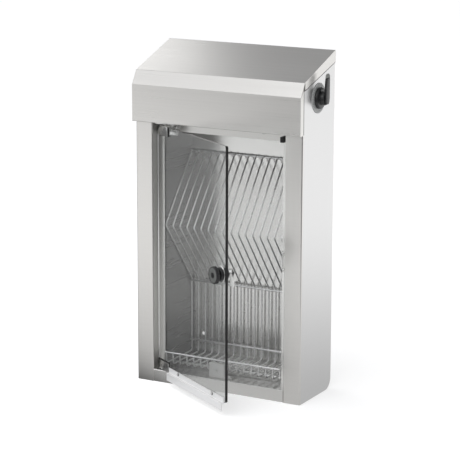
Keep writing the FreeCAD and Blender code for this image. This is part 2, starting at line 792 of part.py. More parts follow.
# Hinge clips, bent round the pane's corners over rubber pads, each with a pin and a grub screw.
clip_gauge = size.clip_gauge
pad = size.pad_gauge
clip_left = pane_left - slip
clip_right = clip_left + size.clip_length
outer_low = pane_front - pad - clip_gauge
inner_high = pane_rear + pad + clip_gauge
hinge_clips = []
pads = []
pins = []
grubs = []
for name, edge_at, sign in (("top", size.glass_top, 1), ("bottom", size.glass_bottom, -1)):
    reach = edge_at - sign * size.clip_height
    brim = edge_at + sign * clip_gauge
    low, high = (reach, brim) if sign > 0 else (brim, reach)
    shell = box(f"{name}_clip_shell", (clip_left, outer_low, low), (clip_right, inner_high, high))
    room_low, room_high = (reach - 1, edge_at) if sign > 0 else (edge_at, reach + 1)
    room = box(f"{name}_clip_room", (clip_left - 1, pane_front - pad, room_low),
               (clip_right + 1, pane_rear + pad, room_high))
    pin_hole = rod(f"{name}_clip_pin_hole", "Z", size.pin_radius, low - 2, high + 2, hinge_at)
    grub_height = edge_at - sign * 9
    grub_at = (clip_right - 8, grub_height)
    grub_hole = rod(f"{name}_grub_hole", "Y", 2, pane_rear + pad, inner_high + 1, grub_at)
    hinge_clips.append(less(f"{name}_clip", shell, room, pin_hole, grub_hole))
    pad_sides = (("outer", pane_front - pad, pane_front), ("inner", pane_rear, pane_rear + pad))
    for part, y_low, y_high in pad_sides:
        z_low, z_high = (reach - 1, edge_at) if sign > 0 else (edge_at, reach + 1)
        pads.append(box(f"{name}_{part}_pad", (clip_left, y_low, z_low), (clip_right + 1, y_high, z_high)))
    grubs.append(rod(f"{name}_grub", "Y", 2, pane_rear + pad, inner_high + 1.8, grub_at))
    pin_low, pin_high = (edge_at, ledge + 1.5) if sign > 0 else (floor_top - 7, edge_at)
    pins.append(rod(f"{name}_pin", "Z", size.pin_radius, pin_low, pin_high, hinge_at))
door_node(group("hinge_clip_pair", hinge_clips), "hinge_clips")
door_node(group("clip_pads_together", pads), "clip_pads")
door_node(group("grub_pair", grubs), "clip_grub_screws")
door_node(group("pin_pair", pins), "hinge_pins")

# Hinge bushes, black collars in the top bracket and in the chamber floor.
bush_bore = size.pin_radius + size.pin_play
bracket_low = ledge - 2
collar_radius = 5.5
bushes = []
bush_places = (
    ("top", bracket_low - 1, bracket_low, bracket_low - 1, ledge),
    ("low", floor_top, floor_top + 1.1, floor_top - 7, floor_top + 1),
)
for name, collar_low, collar_high, barrel_low, barrel_high in bush_places:
    collar = rod(f"{name}_collar", "Z", collar_radius, collar_low, collar_high, hinge_at)
    bush_barrel = rod(f"{name}_barrel", "Z", bush_radius, barrel_low, barrel_high, hinge_at)
    bush_room = rod(f"{name}_bush_bore", "Z", bush_bore, barrel_low - 1, barrel_high + 2, hinge_at)
    bushes.append(less(f"{name}_bush", fused(f"{name}_bush_outside", collar, bush_barrel), bush_room))
node(group("bush_pair", bushes), "hinge_bushes")

# Top hinge bracket, an angle under the ledge that carries the top bush.
bracket = new_body("top_hinge_bracket")
bracket_gauge = 2
bracket_left = -134
bracket_right = as_size(-94)
arm_outline = [
    (front + 1.5, bracket_low),
    (front + 1.5, ledge),
    (lip, ledge),
    (lip, bracket_low),
]
slab(bracket, "Arm", "YZ_Plane", arm_outline, as_size(bracket_left), bracket_right)
leg_outline = [
    (lip - bracket_gauge, size.top_lip_height - 7),
    (lip - bracket_gauge, ledge),
    (lip, ledge),
    (lip, size.top_lip_height - 7),
]
slab(bracket, "Leg", "YZ_Plane", leg_outline, -chamber + 2, bracket_right)
cut_out(bracket, "BushHole", "XY_Plane", bracket_low - 1, ledge + 1, circles=[(*hinge_at, bush_radius)])
cut_out(bracket, "ScrewHoles", "XZ_Plane", lip - 4, lip + 1, circles=bracket_holes)
small_head = (2.8, 1.6)
small_shank = (1.5, 6)
small_screws = hood_screws + [
    screw(f"bracket_screw_{index}", "Y", lip - bracket_gauge, at, 1, *small_head, *small_shank)
    for index, at in enumerate(bracket_screws_at, 1)
]

# Lock: a threaded body through the pane, clamped over a bright escutcheon by a nut.
stem_hole = 3.1
escutcheon_disc = rod("escutcheon_disc", "Y", 15, pane_front - 1, pane_front, lock_at)
escutcheon_hole = rod("escutcheon_hole", "Y", 7.9, pane_front - 2, pane_front + 1, lock_at)
door_node(less("escutcheon", escutcheon_disc, escutcheon_hole), "lock_escutcheon")
boss = rod("lock_boss", "Y", 12, pane_front - 5, pane_front - 1, lock_at)
barrel = rod("lock_barrel", "Y", 7.8, pane_front - 2, pane_rear + 14.5, lock_at)
barrel_bore = rod("lock_bore", "Y", stem_hole, pane_front - 6, pane_rear + 16, lock_at)
door_node(less("lock_housing", fused("lock_outside", boss, barrel), barrel_bore), "lock_body")
nut_hex = hexagon("lock_nut_hex", "Y", 22, pane_rear, pane_rear + 5.6, lock_at)
nut_hole = rod("lock_nut_hole", "Y", 7.9, pane_rear - 1, pane_rear + 7, lock_at)
door_node(less("lock_nut_ring", nut_hex, nut_hole), "lock_nut")

# What the key turns: knob with its satin face, key plug with its spindle, cam and the cam's screw.
knob_stand = 17.5
knob_face_at = pane_front - knob_stand
knob_rear = knob_face_at + 8
spindle_radius = 3
knob_disc = rod("knob_disc", "Y", size.knob_radius, knob_face_at, knob_rear, lock_at)
knob_stem = rod("knob_stem", "Y", 6, knob_rear - 1, pane_front - 5.3, lock_at)
knob_dish = rod("knob_dish", "Y", 13.6, knob_face_at - 1, knob_face_at + 1.4, lock_at)
knob_bore = rod("knob_bore", "Y", spindle_radius, knob_face_at + 5.5, pane_front, lock_at)
plug_bore = rod("plug_bore", "Y", 5.1, knob_face_at, knob_face_at + 5.5, lock_at)
door_node(less("knob_turned", fused("knob_outside", knob_disc, knob_stem), knob_dish, knob_bore, plug_bore),
          "lock_knob")
face_disc = rod("face_disc", "Y", 13.5, knob_face_at + 0.2, knob_face_at + 1.4, lock_at)
face_hole = rod("face_hole", "Y", 5.2, knob_face_at - 1, knob_face_at + 2, lock_at)
door_node(less("face_ring", face_disc, face_hole), "lock_knob_face")
cam_near = pane_rear + 17
cam_far = cam_near + 2
cam_screw_bore = 1.8
plug = rod("plug_pin", "Y", 5, knob_face_at - 0.6, knob_face_at + 5.5, lock_at)
spindle = rod("spindle_rod", "Y", spindle_radius, knob_face_at + 5, cam_near, lock_at)
keyway = box("plug_keyway", (size.lock_across - 0.7, knob_face_at - 2, size.lock_height - 3.2),
             (size.lock_across + 0.7, knob_face_at + 2.5, size.lock_height + 3.2))
spindle_tap = rod("spindle_tap", "Y", cam_screw_bore, cam_near - 7, cam_near + 1, lock_at)
door_node(less("plug_cut", fused("plug_outside", plug, spindle), keyway, spindle_tap), "key_plug")
cam_eye = rod("cam_eye", "Y", 8, cam_near, cam_far, lock_at)
cam_arm = box("cam_arm", (size.lock_across - 7, cam_near, size.lock_height - size.cam_reach),
              (size.lock_across + 7, cam_far, size.lock_height))
cam_hole = rod("cam_hole", "Y", cam_screw_bore, cam_near - 1, cam_far + 1, lock_at)
door_node(less("cam_plate", fused("cam_outside", cam_eye, cam_arm), cam_hole), "lock_cam")
door_node(screw("cam_bolt", "Y", cam_far, lock_at, -1, 4.5, 2.6, cam_screw_bore, 8), "cam_screw")

# Strike plate on the right lip, with its two screws.
strike = new_body("strike_plate")
strike_left = chamber + 0.2
strike_outline = [
    (strike_left, 245),
    (strike_left + 6.8, 245),
    (strike_left + 6.8, 284),
    (strike_left, 284),
]
slab(strike, "Plate", "XZ_Plane", strike_outline, lip - 1, lip)
slot_outline = [
    (strike_left + 2, 253),
    (strike_left + 4.8, 253),
    (strike_left + 4.8, 276),
    (strike_left + 2, 276),
]
cut_out(strike, "Slot", "XZ_Plane", lip - 2, lip + 1, slot_outline)
strike_holes = [(strike_across, height, screw_hole) for height in strike_screw_heights]
cut_out(strike, "Holes", "XZ_Plane", lip - 2, lip + 1, circles=strike_holes)
small_screws += [
    screw(f"strike_screw_{index}", "Y", lip - 1, (strike_across, height), 1, *small_head, *small_shank)
    for index, height in enumerate(strike_screw_heights, 1)
]

# Door buffer, a black rubber block at the top of the right lip.
buffer_body = new_body("door_buffer")
buffer_outline = [
    (chamber + 0.2, 488.5),
    (chamber + 8.7, 488.5),
    (chamber + 8.7, 499),
    (chamber + 0.2, 499),
]
slab(buffer_body, "Block", "XZ_Plane", buffer_outline, pane_rear + 0.5, lip)
round_edges(buffer_body, "Corners", as_size(1.5),
            *[(across, None, height) for across, height in buffer_outline])

# Door safety switch: a white box on the floor with its plunger close behind the shut pane.
switch_front = front + 12
switch_rear = front + 20
switch_left = -21
switch_right = 11
switch_top = 52
plunger_at = (as_size(-5), as_size(38))
case_block = box("switch_case", (switch_left, switch_front, floor_top),
                 (switch_right, switch_rear, switch_top))
case_foot = box("switch_foot", (switch_right - 1, switch_front, floor_top),
                (switch_right + 14, switch_rear, floor_top + 3))
foot_hole = rod("switch_foot_hole", "Z", screw_hole, floor_top - 1, floor_top + 5, switch_screw_at)
spring_room = rod("spring_room", "Y", 3.1, switch_front + 1.2, switch_rear - 1, plunger_at)
plunger_hole = rod("plunger_hole", "Y", 2.1, switch_front - 1, switch_front + 3, plunger_at)
switch_outside = fused("switch_outside", case_block, case_foot)
node(less("switch_shell", switch_outside, foot_hole, spring_room, plunger_hole), "door_switch")
small_screws.append(screw("switch_screw", "Z", floor_top + 3, switch_screw_at, -1, *small_head, *small_shank))
node(group("small_screw_set", small_screws), "small_screws")
plunger_tip = pane_rear + 0.3
plunger_pin = rod("plunger_pin", "Y", 2, plunger_tip, switch_front + 2, plunger_at)
plunger_collar = rod("plunger_collar", "Y", 2.9, switch_front + 1.3, switch_front + 2.3, plunger_at)
node(fused("plunger_turned", plunger_pin, plunger_collar), "switch_plunger")

# Plunger spring, shown pressed together at the back of its room.
spring_wire = 0.25
spring_radius = 2.3
spring_turns = 3
spring_pitch = 0.6
spring_length = spring_pitch * spring_turns


def arc_between(start, heading, end):
    """The arc that leaves start along heading and reaches end."""
    chord = end - start
    sideways = (chord - heading * chord.dot(heading)).normalize()
    radius = chord.dot(chord) / (2 * chord.dot(sideways))
    centre = start + sideways * radius
    outwards = ((start + end) / 2 - centre).normalize()
    return Part.Arc(start, centre + outwards * radius, end).toShape()


def coil_path(radius, pitch, turns):
    """A coil on Z, as two arcs for each quarter turn that share the coil's own tangents."""
    steps = turns * 4
    rise = pitch / 4
    points = []
    headings = []
    for step in range(steps + 1):
        turned = step * math.pi / 2
        points.append(Vector(radius * math.cos(turned), radius * math.sin(turned), rise * step))
        climb = pitch / (2 * math.pi * radius)
        headings.append(Vector(-math.sin(turned), math.cos(turned), climb).normalize())
    edges = []
    for start, end, leaving, arriving in zip(points, points[1:], headings, headings[1:]):
        chord = end - start
        both = leaving + arriving
        spread = 2 * (1 - leaving.dot(arriving))
        across = chord.dot(both)
        reach = (math.sqrt(across * across + spread * chord.dot(chord)) - across) / spread
        joint = (start + leaving * reach + end - arriving * reach) / 2
        passing = (end - arriving * reach - start - leaving * reach).normalize()
        edges += [arc_between(start, leaving, joint), arc_between(joint, passing, end)]
    return Part.Wire(edges)


coil = round_wire(coil_path(spring_radius, spring_pitch, spring_turns), spring_wire)
room_rear = (switch_rear - 1).number
coil_place = Vector(plunger_at[0].number, room_rear - spring_wire - spring_length, plunger_at[1].number)
shape_node("plunger_spring", coil, FreeCAD.Placement(coil_place, TURNS["Y"]))

# Timer: case behind the right panel, neck through it, dial plate and nut outside, shaft and knob.
inner_face = half - gauge
neck_radius = 5
shaft_radius = 3
shaft_bore = 3.1
case_half = 24
timer_case = box("timer_case", (inner_face - 46, dial_at[0] - case_half, dial_at[1] - case_half),
                 (inner_face, dial_at[0] + case_half, dial_at[1] + case_half))
timer_neck = rod("timer_neck", "X", neck_radius, inner_face - 1, half + 4, dial_at)
shaft_room = rod("shaft_room", "X", shaft_bore, inner_face - 14, half + 5, dial_at)
node(less("timer_housing", fused("timer_outside", timer_case, timer_neck), shaft_room), "timer_body")
dial_disc = rod("dial_disc", "X", size.dial_radius, half, half + 1, dial_at)
dial_hole = rod("dial_hole", "X", 5.2, half - 1, half + 2, dial_at)
node(less("dial_ring", dial_disc, dial_hole), "dial_plate")
timer_hex = hexagon("timer_hex", "X", 14, half + 1, half + 3.5, dial_at)
timer_nut_hole = rod("timer_nut_hole", "X", neck_radius + 0.05, half, half + 5, dial_at)
node(less("timer_nut_ring", timer_hex, timer_nut_hole), "timer_nut")
node(rod("timer_shaft_rod", "X", shaft_radius, inner_face - 13.5, half + 14, dial_at), "timer_shaft")
skirt_low = half + 1.6
skirt_high = half + 7.5
lever_low = half + 15
lever_high = half + 19.5
lever_half = 8.5
skirt = rod("knob_skirt", "X", size.skirt_radius, skirt_low, skirt_high, dial_at)
barrel_high = half + 16
knob_barrel = rod("knob_barrel", "X", 12.5, skirt_high - 1, barrel_high, dial_at)
lever = box("knob_lever", (lever_low, dial_at[0] - lever_half, dial_at[1] - 12),
            (lever_high, dial_at[0] + lever_half, dial_at[1] + size.lever_reach - 8))
nut_room = rod("knob_nut_room", "X", 9, skirt_low - 1, half + 5, dial_at)
knob_shaft_bore = rod("knob_shaft_bore", "X", shaft_radius, half + 4, half + 14, dial_at)
timer_knob_outside = fused("timer_knob_outside", skirt, knob_barrel, lever)
node(less("timer_knob_cut", timer_knob_outside, nut_room, knob_shaft_bore), "timer_knob")
tip_low = dial_at[1] + size.lever_reach - 8
tip_block = box("tip_block", (lever_low, dial_at[0] - lever_half, tip_low),
                (lever_high, dial_at[0] + lever_half, tip_low + 8))
tip_round = rod("tip_round", "X", lever_half, lever_low, lever_high, (dial_at[0], tip_low - 0.5))
tip = doc.addObject("Part::Common", "tip_common")
tip.Base = tip_block
tip.Tool = tip_round
node(tip, "lever_tip")

# Germicidal lamp: glass tube, two metal caps with their pins, and the two holders under the tray.
lamp_at = (size.lamp_depth, size.lamp_height)
cap_length = 8
lamp_half = size.lamp_length / 2
tube_half = lamp_half - cap_length
tube_outside = rod("tube_outside", "X", size.lamp_radius, -tube_half, tube_half, lamp_at)
tube_inside = rod("tube_inside", "X", size.lamp_radius - 0.8, -tube_half + 1, tube_half - 1, lamp_at)
node(less("tube_glass", tube_outside, tube_inside), "lamp_tube")
pin_spread = 2.4
pin_reach = 7
caps = []
for name, low, cap_low in (
    ("left", -lamp_half - pin_reach, -lamp_half),
    ("right", lamp_half, lamp_half - cap_length),
):
    cap = rod(f"{name}_cap", "X", size.lamp_radius, cap_low, cap_low + cap_length, lamp_at)
    cap_pins = [
        rod(f"{name}_cap_pin_{index}", "X", 1.15, low, low + pin_reach,
            (size.lamp_depth + offset, size.lamp_height))
        for index, offset in enumerate((-pin_spread, pin_spread), 1)
    ]
    caps.append(fused(f"{name}_cap_with_pins", cap, *cap_pins))
node(group("cap_pair", caps), "lamp_caps")
holder_gauge = 10
holders = []
holder_starts = (-lamp_half - holder_gauge - 0.4, lamp_half + 0.4)
for index, low in enumerate(holder_starts, 1):
    block = box(f"holder_block_{index}", (low, size.lamp_depth - 11, size.lamp_height - 11),
                (low + holder_gauge, size.lamp_depth + 11, tray))
    drills = [
        rod(f"holder_drill_{index}_{place}", "X", 1.2, low - 1 if index == 2 else low + 2.5,
            low + holder_gauge - 2.5 if index == 2 else low + holder_gauge + 1,
            (size.lamp_depth + offset, size.lamp_height))
        for place, offset in enumerate((-pin_spread, pin_spread), 1)
    ]
    holders.append(less(f"holder_{index}", block, *drills))
node(group("holder_pair", holders), "lamp_holders")

# Control gear on the tray: ballast, starter in its socket, terminal block and the earth stud.
ballast_core = box("ballast_core", (-104, 0, tray_top), (34, 40, tray_top + 28))
ballast_base = box("ballast_base", (-114, 4, tray_top), (44, 36, tray_top + 1.5))
ballast_screws_at = [(-109, 20), (39, 20)]
ballast_holes = [
    rod(f"ballast_hole_{index}", "Z", 1.25, tray_top - 1, tray_top + 3, at)
    for index, at in enumerate(ballast_screws_at, 1)
]
node(less("ballast_drilled", fused("ballast_outside", ballast_core, ballast_base), *ballast_holes), "ballast")
ballast_screws = [
    screw(f"ballast_screw_{index}", "Z", tray_top + 1.5, at, -1, 2.5, 1.6, 1.2, 1.4)
    for index, at in enumerate(ballast_screws_at, 1)
]
node(group("ballast_screw_pair", ballast_screws), "ballast_screws")
starter_at = (-140, 20)
socket_block = box("socket_block", (-152, 8, tray_top), (-128, 32, tray_top + 12))
socket_room = rod("socket_room", "Z", 10, tray_top + 4, tray_top + 13, starter_at)
node(less("socket_cut", socket_block, socket_room), "starter_socket")
starter_foot = rod("starter_foot", "Z", 9.8, tray_top + 4.1, tray_top + 13, starter_at)
starter_can = rod("starter_can", "Z", 10.7, tray_top + 12.3, tray_top + 46, starter_at)
node(fused("starter_whole", starter_foot, starter_can), "starter")
terminal_base = box("terminal_base", (56, 30, tray_top), (104, 46, tray_top + 10))
terminal_row = [
    rod(f"terminal_well_{index}", "Z", 2.2, tray_top + 6, tray_top + 11, (64 + 8 * index, 38))
    for index in range(5)
]
node(less("terminal_cut", terminal_base, *terminal_row), "terminal_block")
stud_bolt = rod("stud_bolt", "Z", 1.9, tray - 1.5, tray_top + 12, earth_at)
stud_head = rod("stud_head", "Z", 3.5, tray - 3, tray, earth_at)
stud = fused("stud_whole", stud_bolt, stud_head)
earth_hex = hexagon("earth_hex", "Z", 7, tray_top, tray_top + 3.2, earth_at)
earth_hole = rod("earth_hole", "Z", 1.95, tray_top - 1, tray_top + 5, earth_at)
node(group("earth_set", [stud, less("earth_nut", earth_hex, earth_hole)]), "earth_stud")

# Cable gland in the left panel, with its locknut inside.
gland_thread = rod("gland_thread", "X", 7.9, -half - 1, -half + 9, gland_at)
gland_hex = hexagon("gland_hex", "X", 20, -half - 5, -half, gland_at)
gland_dome = rod("gland_dome", "X", 9.5, -half - 15, -half - 4, gland_at)
gland_bore = rod("gland_bore", "X", 4, -half - 20, -half + 12, gland_at)
gland_outside = fused("gland_outside", gland_thread, gland_hex, gland_dome)
node(less("gland_drilled", gland_outside, gland_bore), "cable_gland")
locknut_hex = hexagon("locknut_hex", "X", 21, -half + gauge, -half + gauge + 4, gland_at)
locknut_hole = rod("locknut_hole", "X", 8, -half, -half + 8, gland_at)
node(less("locknut_ring", locknut_hex, locknut_hole), "gland_locknut")

# Internal wires between terminal block, timer, ballast, lamp and door switch.
lead_radius = 1.1
front_now = -sheet.casing_depth / 2
riser = Vector(riser_at[0], front_now + 60, 0)
lead_routes = (
    (Vector(84, 30, 540), Vector(84, 18, 541), Vector(108, 8, 552), Vector(127.8, 6, 560)),
    (Vector(66, 30, 540), Vector(66, 22, 541), Vector(56, 20, 545), Vector(34, 20, 548)),
    (Vector(-104, 14, 548), Vector(-112, 8, 546), Vector(lamp_lead_at[0], lamp_lead_at[1], 542),
     Vector(lamp_lead_at[0], lamp_lead_at[1], 526)),
    (Vector(switch_lead_at[0], front_now + 16, sheet.floor_height), Vector(-5, front_now + 16, 12),
     Vector(20, front_now + 34, 10), Vector(110, front_now + 58, 10), Vector(riser.x, riser.y, 14),
     Vector(riser.x, riser.y, 545), Vector(112, 20, 544),
     Vector(104, 38, 540)),
)


def lead(points):
    """A wire along a route whose arcs are as large as the runs allow, at most twelve millimetres."""
    radii = []
    for before, corner, after in zip(points, points[1:], points[2:]):
        turn = (corner - before).getAngle(after - corner)
        shorter = min((corner - before).Length, (after - corner).Length)
        radii.append(min(12, 0.45 * shorter / max(math.tan(turn / 2), 0.01)))
    return round_wire(bent_line(points, radii), lead_radius)


shape_node("internal_wires", Part.makeCompound([lead(list(route)) for route in lead_routes]))

doc.recompute()
faults = [thing.Name for thing in doc.Objects if "Invalid" in thing.State or "Error" in thing.State]
for thing in nodes:
    if thing.Shape.isNull() or not thing.Shape.isValid():
        faults.append(thing.Label)
if faults:
    raise RuntimeError("failed: " + ", ".join(faults))
if len({thing.Label for thing in nodes}) != len(nodes):
    raise RuntimeError("two sub-parts share a name")

os.makedirs("parts", exist_ok=True)
for thing in nodes:
    thing.Shape.exportStep(f"parts/{thing.Label}.step")
print(len(nodes), "sub-parts written")
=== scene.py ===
import json
import math

import bmesh
import bpy
from mathutils import Matrix, Quaternion, Vector


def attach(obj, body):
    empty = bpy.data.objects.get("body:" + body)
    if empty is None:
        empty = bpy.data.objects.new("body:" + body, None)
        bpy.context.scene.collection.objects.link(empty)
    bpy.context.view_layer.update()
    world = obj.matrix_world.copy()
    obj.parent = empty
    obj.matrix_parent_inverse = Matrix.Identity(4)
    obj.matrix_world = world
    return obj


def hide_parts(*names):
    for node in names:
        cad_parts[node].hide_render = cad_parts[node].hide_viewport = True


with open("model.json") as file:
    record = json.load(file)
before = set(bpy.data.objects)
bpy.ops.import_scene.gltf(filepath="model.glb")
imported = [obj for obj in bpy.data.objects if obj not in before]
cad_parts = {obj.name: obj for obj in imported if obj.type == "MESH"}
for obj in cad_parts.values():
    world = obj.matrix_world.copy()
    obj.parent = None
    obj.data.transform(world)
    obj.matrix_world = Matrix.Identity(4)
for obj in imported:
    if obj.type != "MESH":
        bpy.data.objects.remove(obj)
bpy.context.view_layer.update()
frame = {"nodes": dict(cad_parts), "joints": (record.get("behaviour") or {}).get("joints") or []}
cad = frame["nodes"]
MM = 0.001

# Viewpoint.
# A long lens at about three and a half metres, to the right of the cabinet and a little above it.
viewpoint_azimuth = math.radians(28.7)
viewpoint_elevation = math.radians(12.8)
viewpoint_distance = 3.634
viewpoint_aim = Vector((-0.0088, 0.0, 0.3003))
viewpoint_roll = math.radians(0.18)
photo_width_px = 460
focal_length_px = 1921.6
sensor_width = 36.0
towards_camera = Vector((
    math.sin(viewpoint_azimuth) * math.cos(viewpoint_elevation),
    -math.cos(viewpoint_azimuth) * math.cos(viewpoint_elevation),
    math.sin(viewpoint_elevation),
))
camera_data = bpy.data.cameras.new("camera")
camera_data.sensor_width = sensor_width
camera_data.lens = focal_length_px / photo_width_px * sensor_width
camera_data.clip_start = 0.1
camera_data.clip_end = 100
camera = bpy.data.objects.new("camera", camera_data)
bpy.context.scene.collection.objects.link(camera)
camera.rotation_mode = "QUATERNION"
camera.location = viewpoint_aim + towards_camera * viewpoint_distance
facing = (-towards_camera).to_track_quat("-Z", "Y")
camera.rotation_quaternion = facing @ Quaternion((0, 0, 1), viewpoint_roll)
bpy.context.scene.camera = camera

# Studio.
# A surround that is paler towards the front left, three soft lamps, and a white paper sweep under the
# cabinet. Mirrored in the steel, the sweep is dimmer close by, to the front right and straight to the left.
bpy.context.scene.view_settings.view_transform = "Standard"


def ramp(tree, value, low, high, at_low, at_high, smooth=False):
    """Carry a value over from the range low..high to the range at_low..at_high."""
    node = tree.nodes.new("ShaderNodeMapRange")
    node.interpolation_type = "SMOOTHSTEP" if smooth else "LINEAR"
    for name, number in (("From Min", low), ("From Max", high), ("To Min", at_low), ("To Max", at_high)):
        node.inputs[name].default_value = number
    tree.links.new(value, node.inputs["Value"])
    return node.outputs["Result"]


def reckoned(tree, operation, *values):
    """One arithmetic step; each value is a number or another step's result."""
    step = tree.nodes.new("ShaderNodeMath")
    step.operation = operation
    for socket, value in zip(step.inputs, values):
        if isinstance(value, (int, float)):
            socket.default_value = value
        else:
            tree.links.new(value, socket)
    return step.outputs["Value"]


def measured(tree, operation, place, way=None):
    """A place's LENGTH from the origin, or its DOT_PRODUCT with a way."""
    step = tree.nodes.new("ShaderNodeVectorMath")
    step.operation = operation
    tree.links.new(place, step.inputs[0])
    if way is not None:
        step.inputs[1].default_value = way
    return step.outputs["Value"]


surround = bpy.data.worlds.new("pale_surround")
surround.use_nodes = True
bpy.context.scene.world = surround
surround_tree = surround.node_tree
surround_tree.nodes.clear()
surround_way = surround_tree.nodes.new("ShaderNodeTexCoord").outputs["Generated"]
towards_brightest = measured(surround_tree, "DOT_PRODUCT", surround_way, (-0.55, -0.75, 0.37))
surround_level = ramp(surround_tree, towards_brightest, 0.0, 0.95, 0.36, 0.9, smooth=True)
surround_ray = surround_tree.nodes.new("ShaderNodeLightPath")
surround_lit = surround_tree.nodes.new("ShaderNodeBackground")
surround_lit.inputs["Color"].default_value = (0.98, 0.985, 1.0, 1)
surround_seen = surround_tree.nodes.new("ShaderNodeBackground")
surround_seen.inputs["Color"].default_value = (1, 1, 1, 1)
surround_seen.inputs["Strength"].default_value = 1.0
surround_mix = surround_tree.nodes.new("ShaderNodeMixShader")
surround_out = surround_tree.nodes.new("ShaderNodeOutputWorld")
surround_tree.links.new(surround_level, surround_lit.inputs["Strength"])
surround_tree.links.new(surround_ray.outputs["Is Camera Ray"], surround_mix.inputs["Fac"])
surround_tree.links.new(surround_lit.outputs["Background"], surround_mix.inputs[1])
surround_tree.links.new(surround_seen.outputs["Background"], surround_mix.inputs[2])
surround_tree.links.new(surround_mix.outputs["Shader"], surround_out.inputs["Surface"])


def soft_lamp(name, place, aim, wide, high, power):
    """A large rectangular lamp that faces its aim."""
    data = bpy.data.lights.new(name, "AREA")
    data.shape = "RECTANGLE"
    data.size = wide
    data.size_y = high
    data.energy = power
    lamp = bpy.data.objects.new(name, data)
    bpy.context.scene.collection.objects.link(lamp)
    lamp.location = place
    lamp.rotation_mode = "QUATERNION"
    lamp.rotation_quaternion = (Vector(aim) - Vector(place)).to_track_quat("-Z", "Y")


cabinet_middle = (0, 0, 0.3)
hood_middle = (-0.1, 0, 0.6)
soft_lamp("lamp_front", (0.0, -1.95, 2.4), cabinet_middle, 1.5, 1.2, 9)
soft_lamp("lamp_left", (-2.6, -1.6, 1.5), cabinet_middle, 1.6, 1.6, 16)
soft_lamp("lamp_over", (-1.15, 0.72, 1.45), hood_middle, 0.75, 0.75, 1.9)

sweep_reach = 30
sweep_mesh = bpy.data.meshes.new("sweep")
sweep_shape = bmesh.new()
bmesh.ops.create_grid(sweep_shape, x_segments=1, y_segments=1, size=sweep_reach)
sweep_shape.to_mesh(sweep_mesh)
sweep_shape.free()
sweep = bpy.data.objects.new("sweep", sweep_mesh)
bpy.context.scene.collection.objects.link(sweep)
sweep_paper = bpy.data.materials.new("sweep_paper")
sweep_paper.use_nodes = True
sweep_tree = sweep_paper.node_tree
sweep_shader = sweep_tree.nodes["Principled BSDF"]
sweep_shader.inputs["Base Color"].default_value = (0.93, 0.93, 0.93, 1)
sweep_shader.inputs["Roughness"].default_value = 0.9
sweep_shader.inputs["Specular IOR Level"].default_value = 0.0
sweep_ray = sweep_tree.nodes.new("ShaderNodeLightPath").outputs
sweep_place = sweep_tree.nodes.new("ShaderNodeTexCoord").outputs["Object"]

sweep_distance = measured(sweep_tree, "LENGTH", sweep_place)
sweep_close = ramp(sweep_tree, sweep_distance, 0.2, 1.4, 0.62, 1.2)
front_right = measured(sweep_tree, "DOT_PRODUCT", sweep_place, (0.7, -0.71, 0))
sweep_front_right = ramp(sweep_tree, front_right, 0.45, 1.5, 1.0, 0.1, smooth=True)
rightward = measured(sweep_tree, "DOT_PRODUCT", sweep_place, (1, 0, 0))
sweep_bearing = reckoned(sweep_tree, "DIVIDE", rightward, sweep_distance)
sweep_left = ramp(sweep_tree, sweep_bearing, -0.95, -0.7, 0.14, 1.0)
glass_least = 0.25
sweep_behind_glass = reckoned(sweep_tree, "MULTIPLY_ADD", sweep_front_right, 1 - glass_least, glass_least)
sweep_level = sweep_tree.nodes.new("ShaderNodeMix")
sweep_tree.links.new(sweep_ray["Is Transmission Ray"], sweep_level.inputs["Factor"])
sweep_tree.links.new(reckoned(sweep_tree, "MULTIPLY", sweep_front_right, sweep_left), sweep_level.inputs["A"])
sweep_tree.links.new(sweep_behind_glass, sweep_level.inputs["B"])
sweep_mirrored = sweep_tree.nodes.new("ShaderNodeEmission")
sweep_tree.links.new(reckoned(sweep_tree, "MULTIPLY", sweep_level.outputs["Result"], sweep_close),
                     sweep_mirrored.inputs["Strength"])

camera_glow = 0.5
sweep_lift = reckoned(sweep_tree, "MULTIPLY", sweep_ray["Is Camera Ray"], camera_glow)
sweep_glow = sweep_tree.nodes.new("ShaderNodeEmission")
sweep_tree.links.new(sweep_lift, sweep_glow.inputs["Strength"])
sweep_seen = sweep_tree.nodes.new("ShaderNodeAddShader")
sweep_tree.links.new(sweep_shader.outputs["BSDF"], sweep_seen.inputs[0])
sweep_tree.links.new(sweep_glow.outputs["Emission"], sweep_seen.inputs[1])
sweep_mix = sweep_tree.nodes.new("ShaderNodeMixShader")
sweep_passed = reckoned(sweep_tree, "MAXIMUM", sweep_ray["Is Glossy Ray"], sweep_ray["Is Transmission Ray"])
sweep_tree.links.new(sweep_passed, sweep_mix.inputs["Fac"])
sweep_tree.links.new(sweep_seen.outputs["Shader"], sweep_mix.inputs[1])
sweep_tree.links.new(sweep_mirrored.outputs["Emission"], sweep_mix.inputs[2])
sweep_tree.links.new(sweep_mix.outputs["Shader"], sweep_tree.nodes["Material Output"].inputs["Surface"])
sweep.data.materials.append(sweep_paper)


# Casing.
# Stainless sheet, cut, folded and spot-welded, brushed along its width: side panels, stiles, lips, back and
# base, chamber, rail, lamp tray and hood, and the hooks that hold the rack. The chamber walls are a much
# darker copy of
# the steel: painted shade, for the shade inside the chamber.
def shader_group(name, inputs, outputs):
    """A node group, with its input and output nodes; each socket is given as its name and its kind."""
    group = bpy.data.node_groups.new(name, "ShaderNodeTree")
    for way, sockets in (("INPUT", inputs), ("OUTPUT", outputs)):
        for label, kind in sockets:
            group.interface.new_socket(name=label, in_out=way, socket_type="NodeSocket" + kind)
    return group, group.nodes.new("NodeGroupInput"), group.nodes.new("NodeGroupOutput")


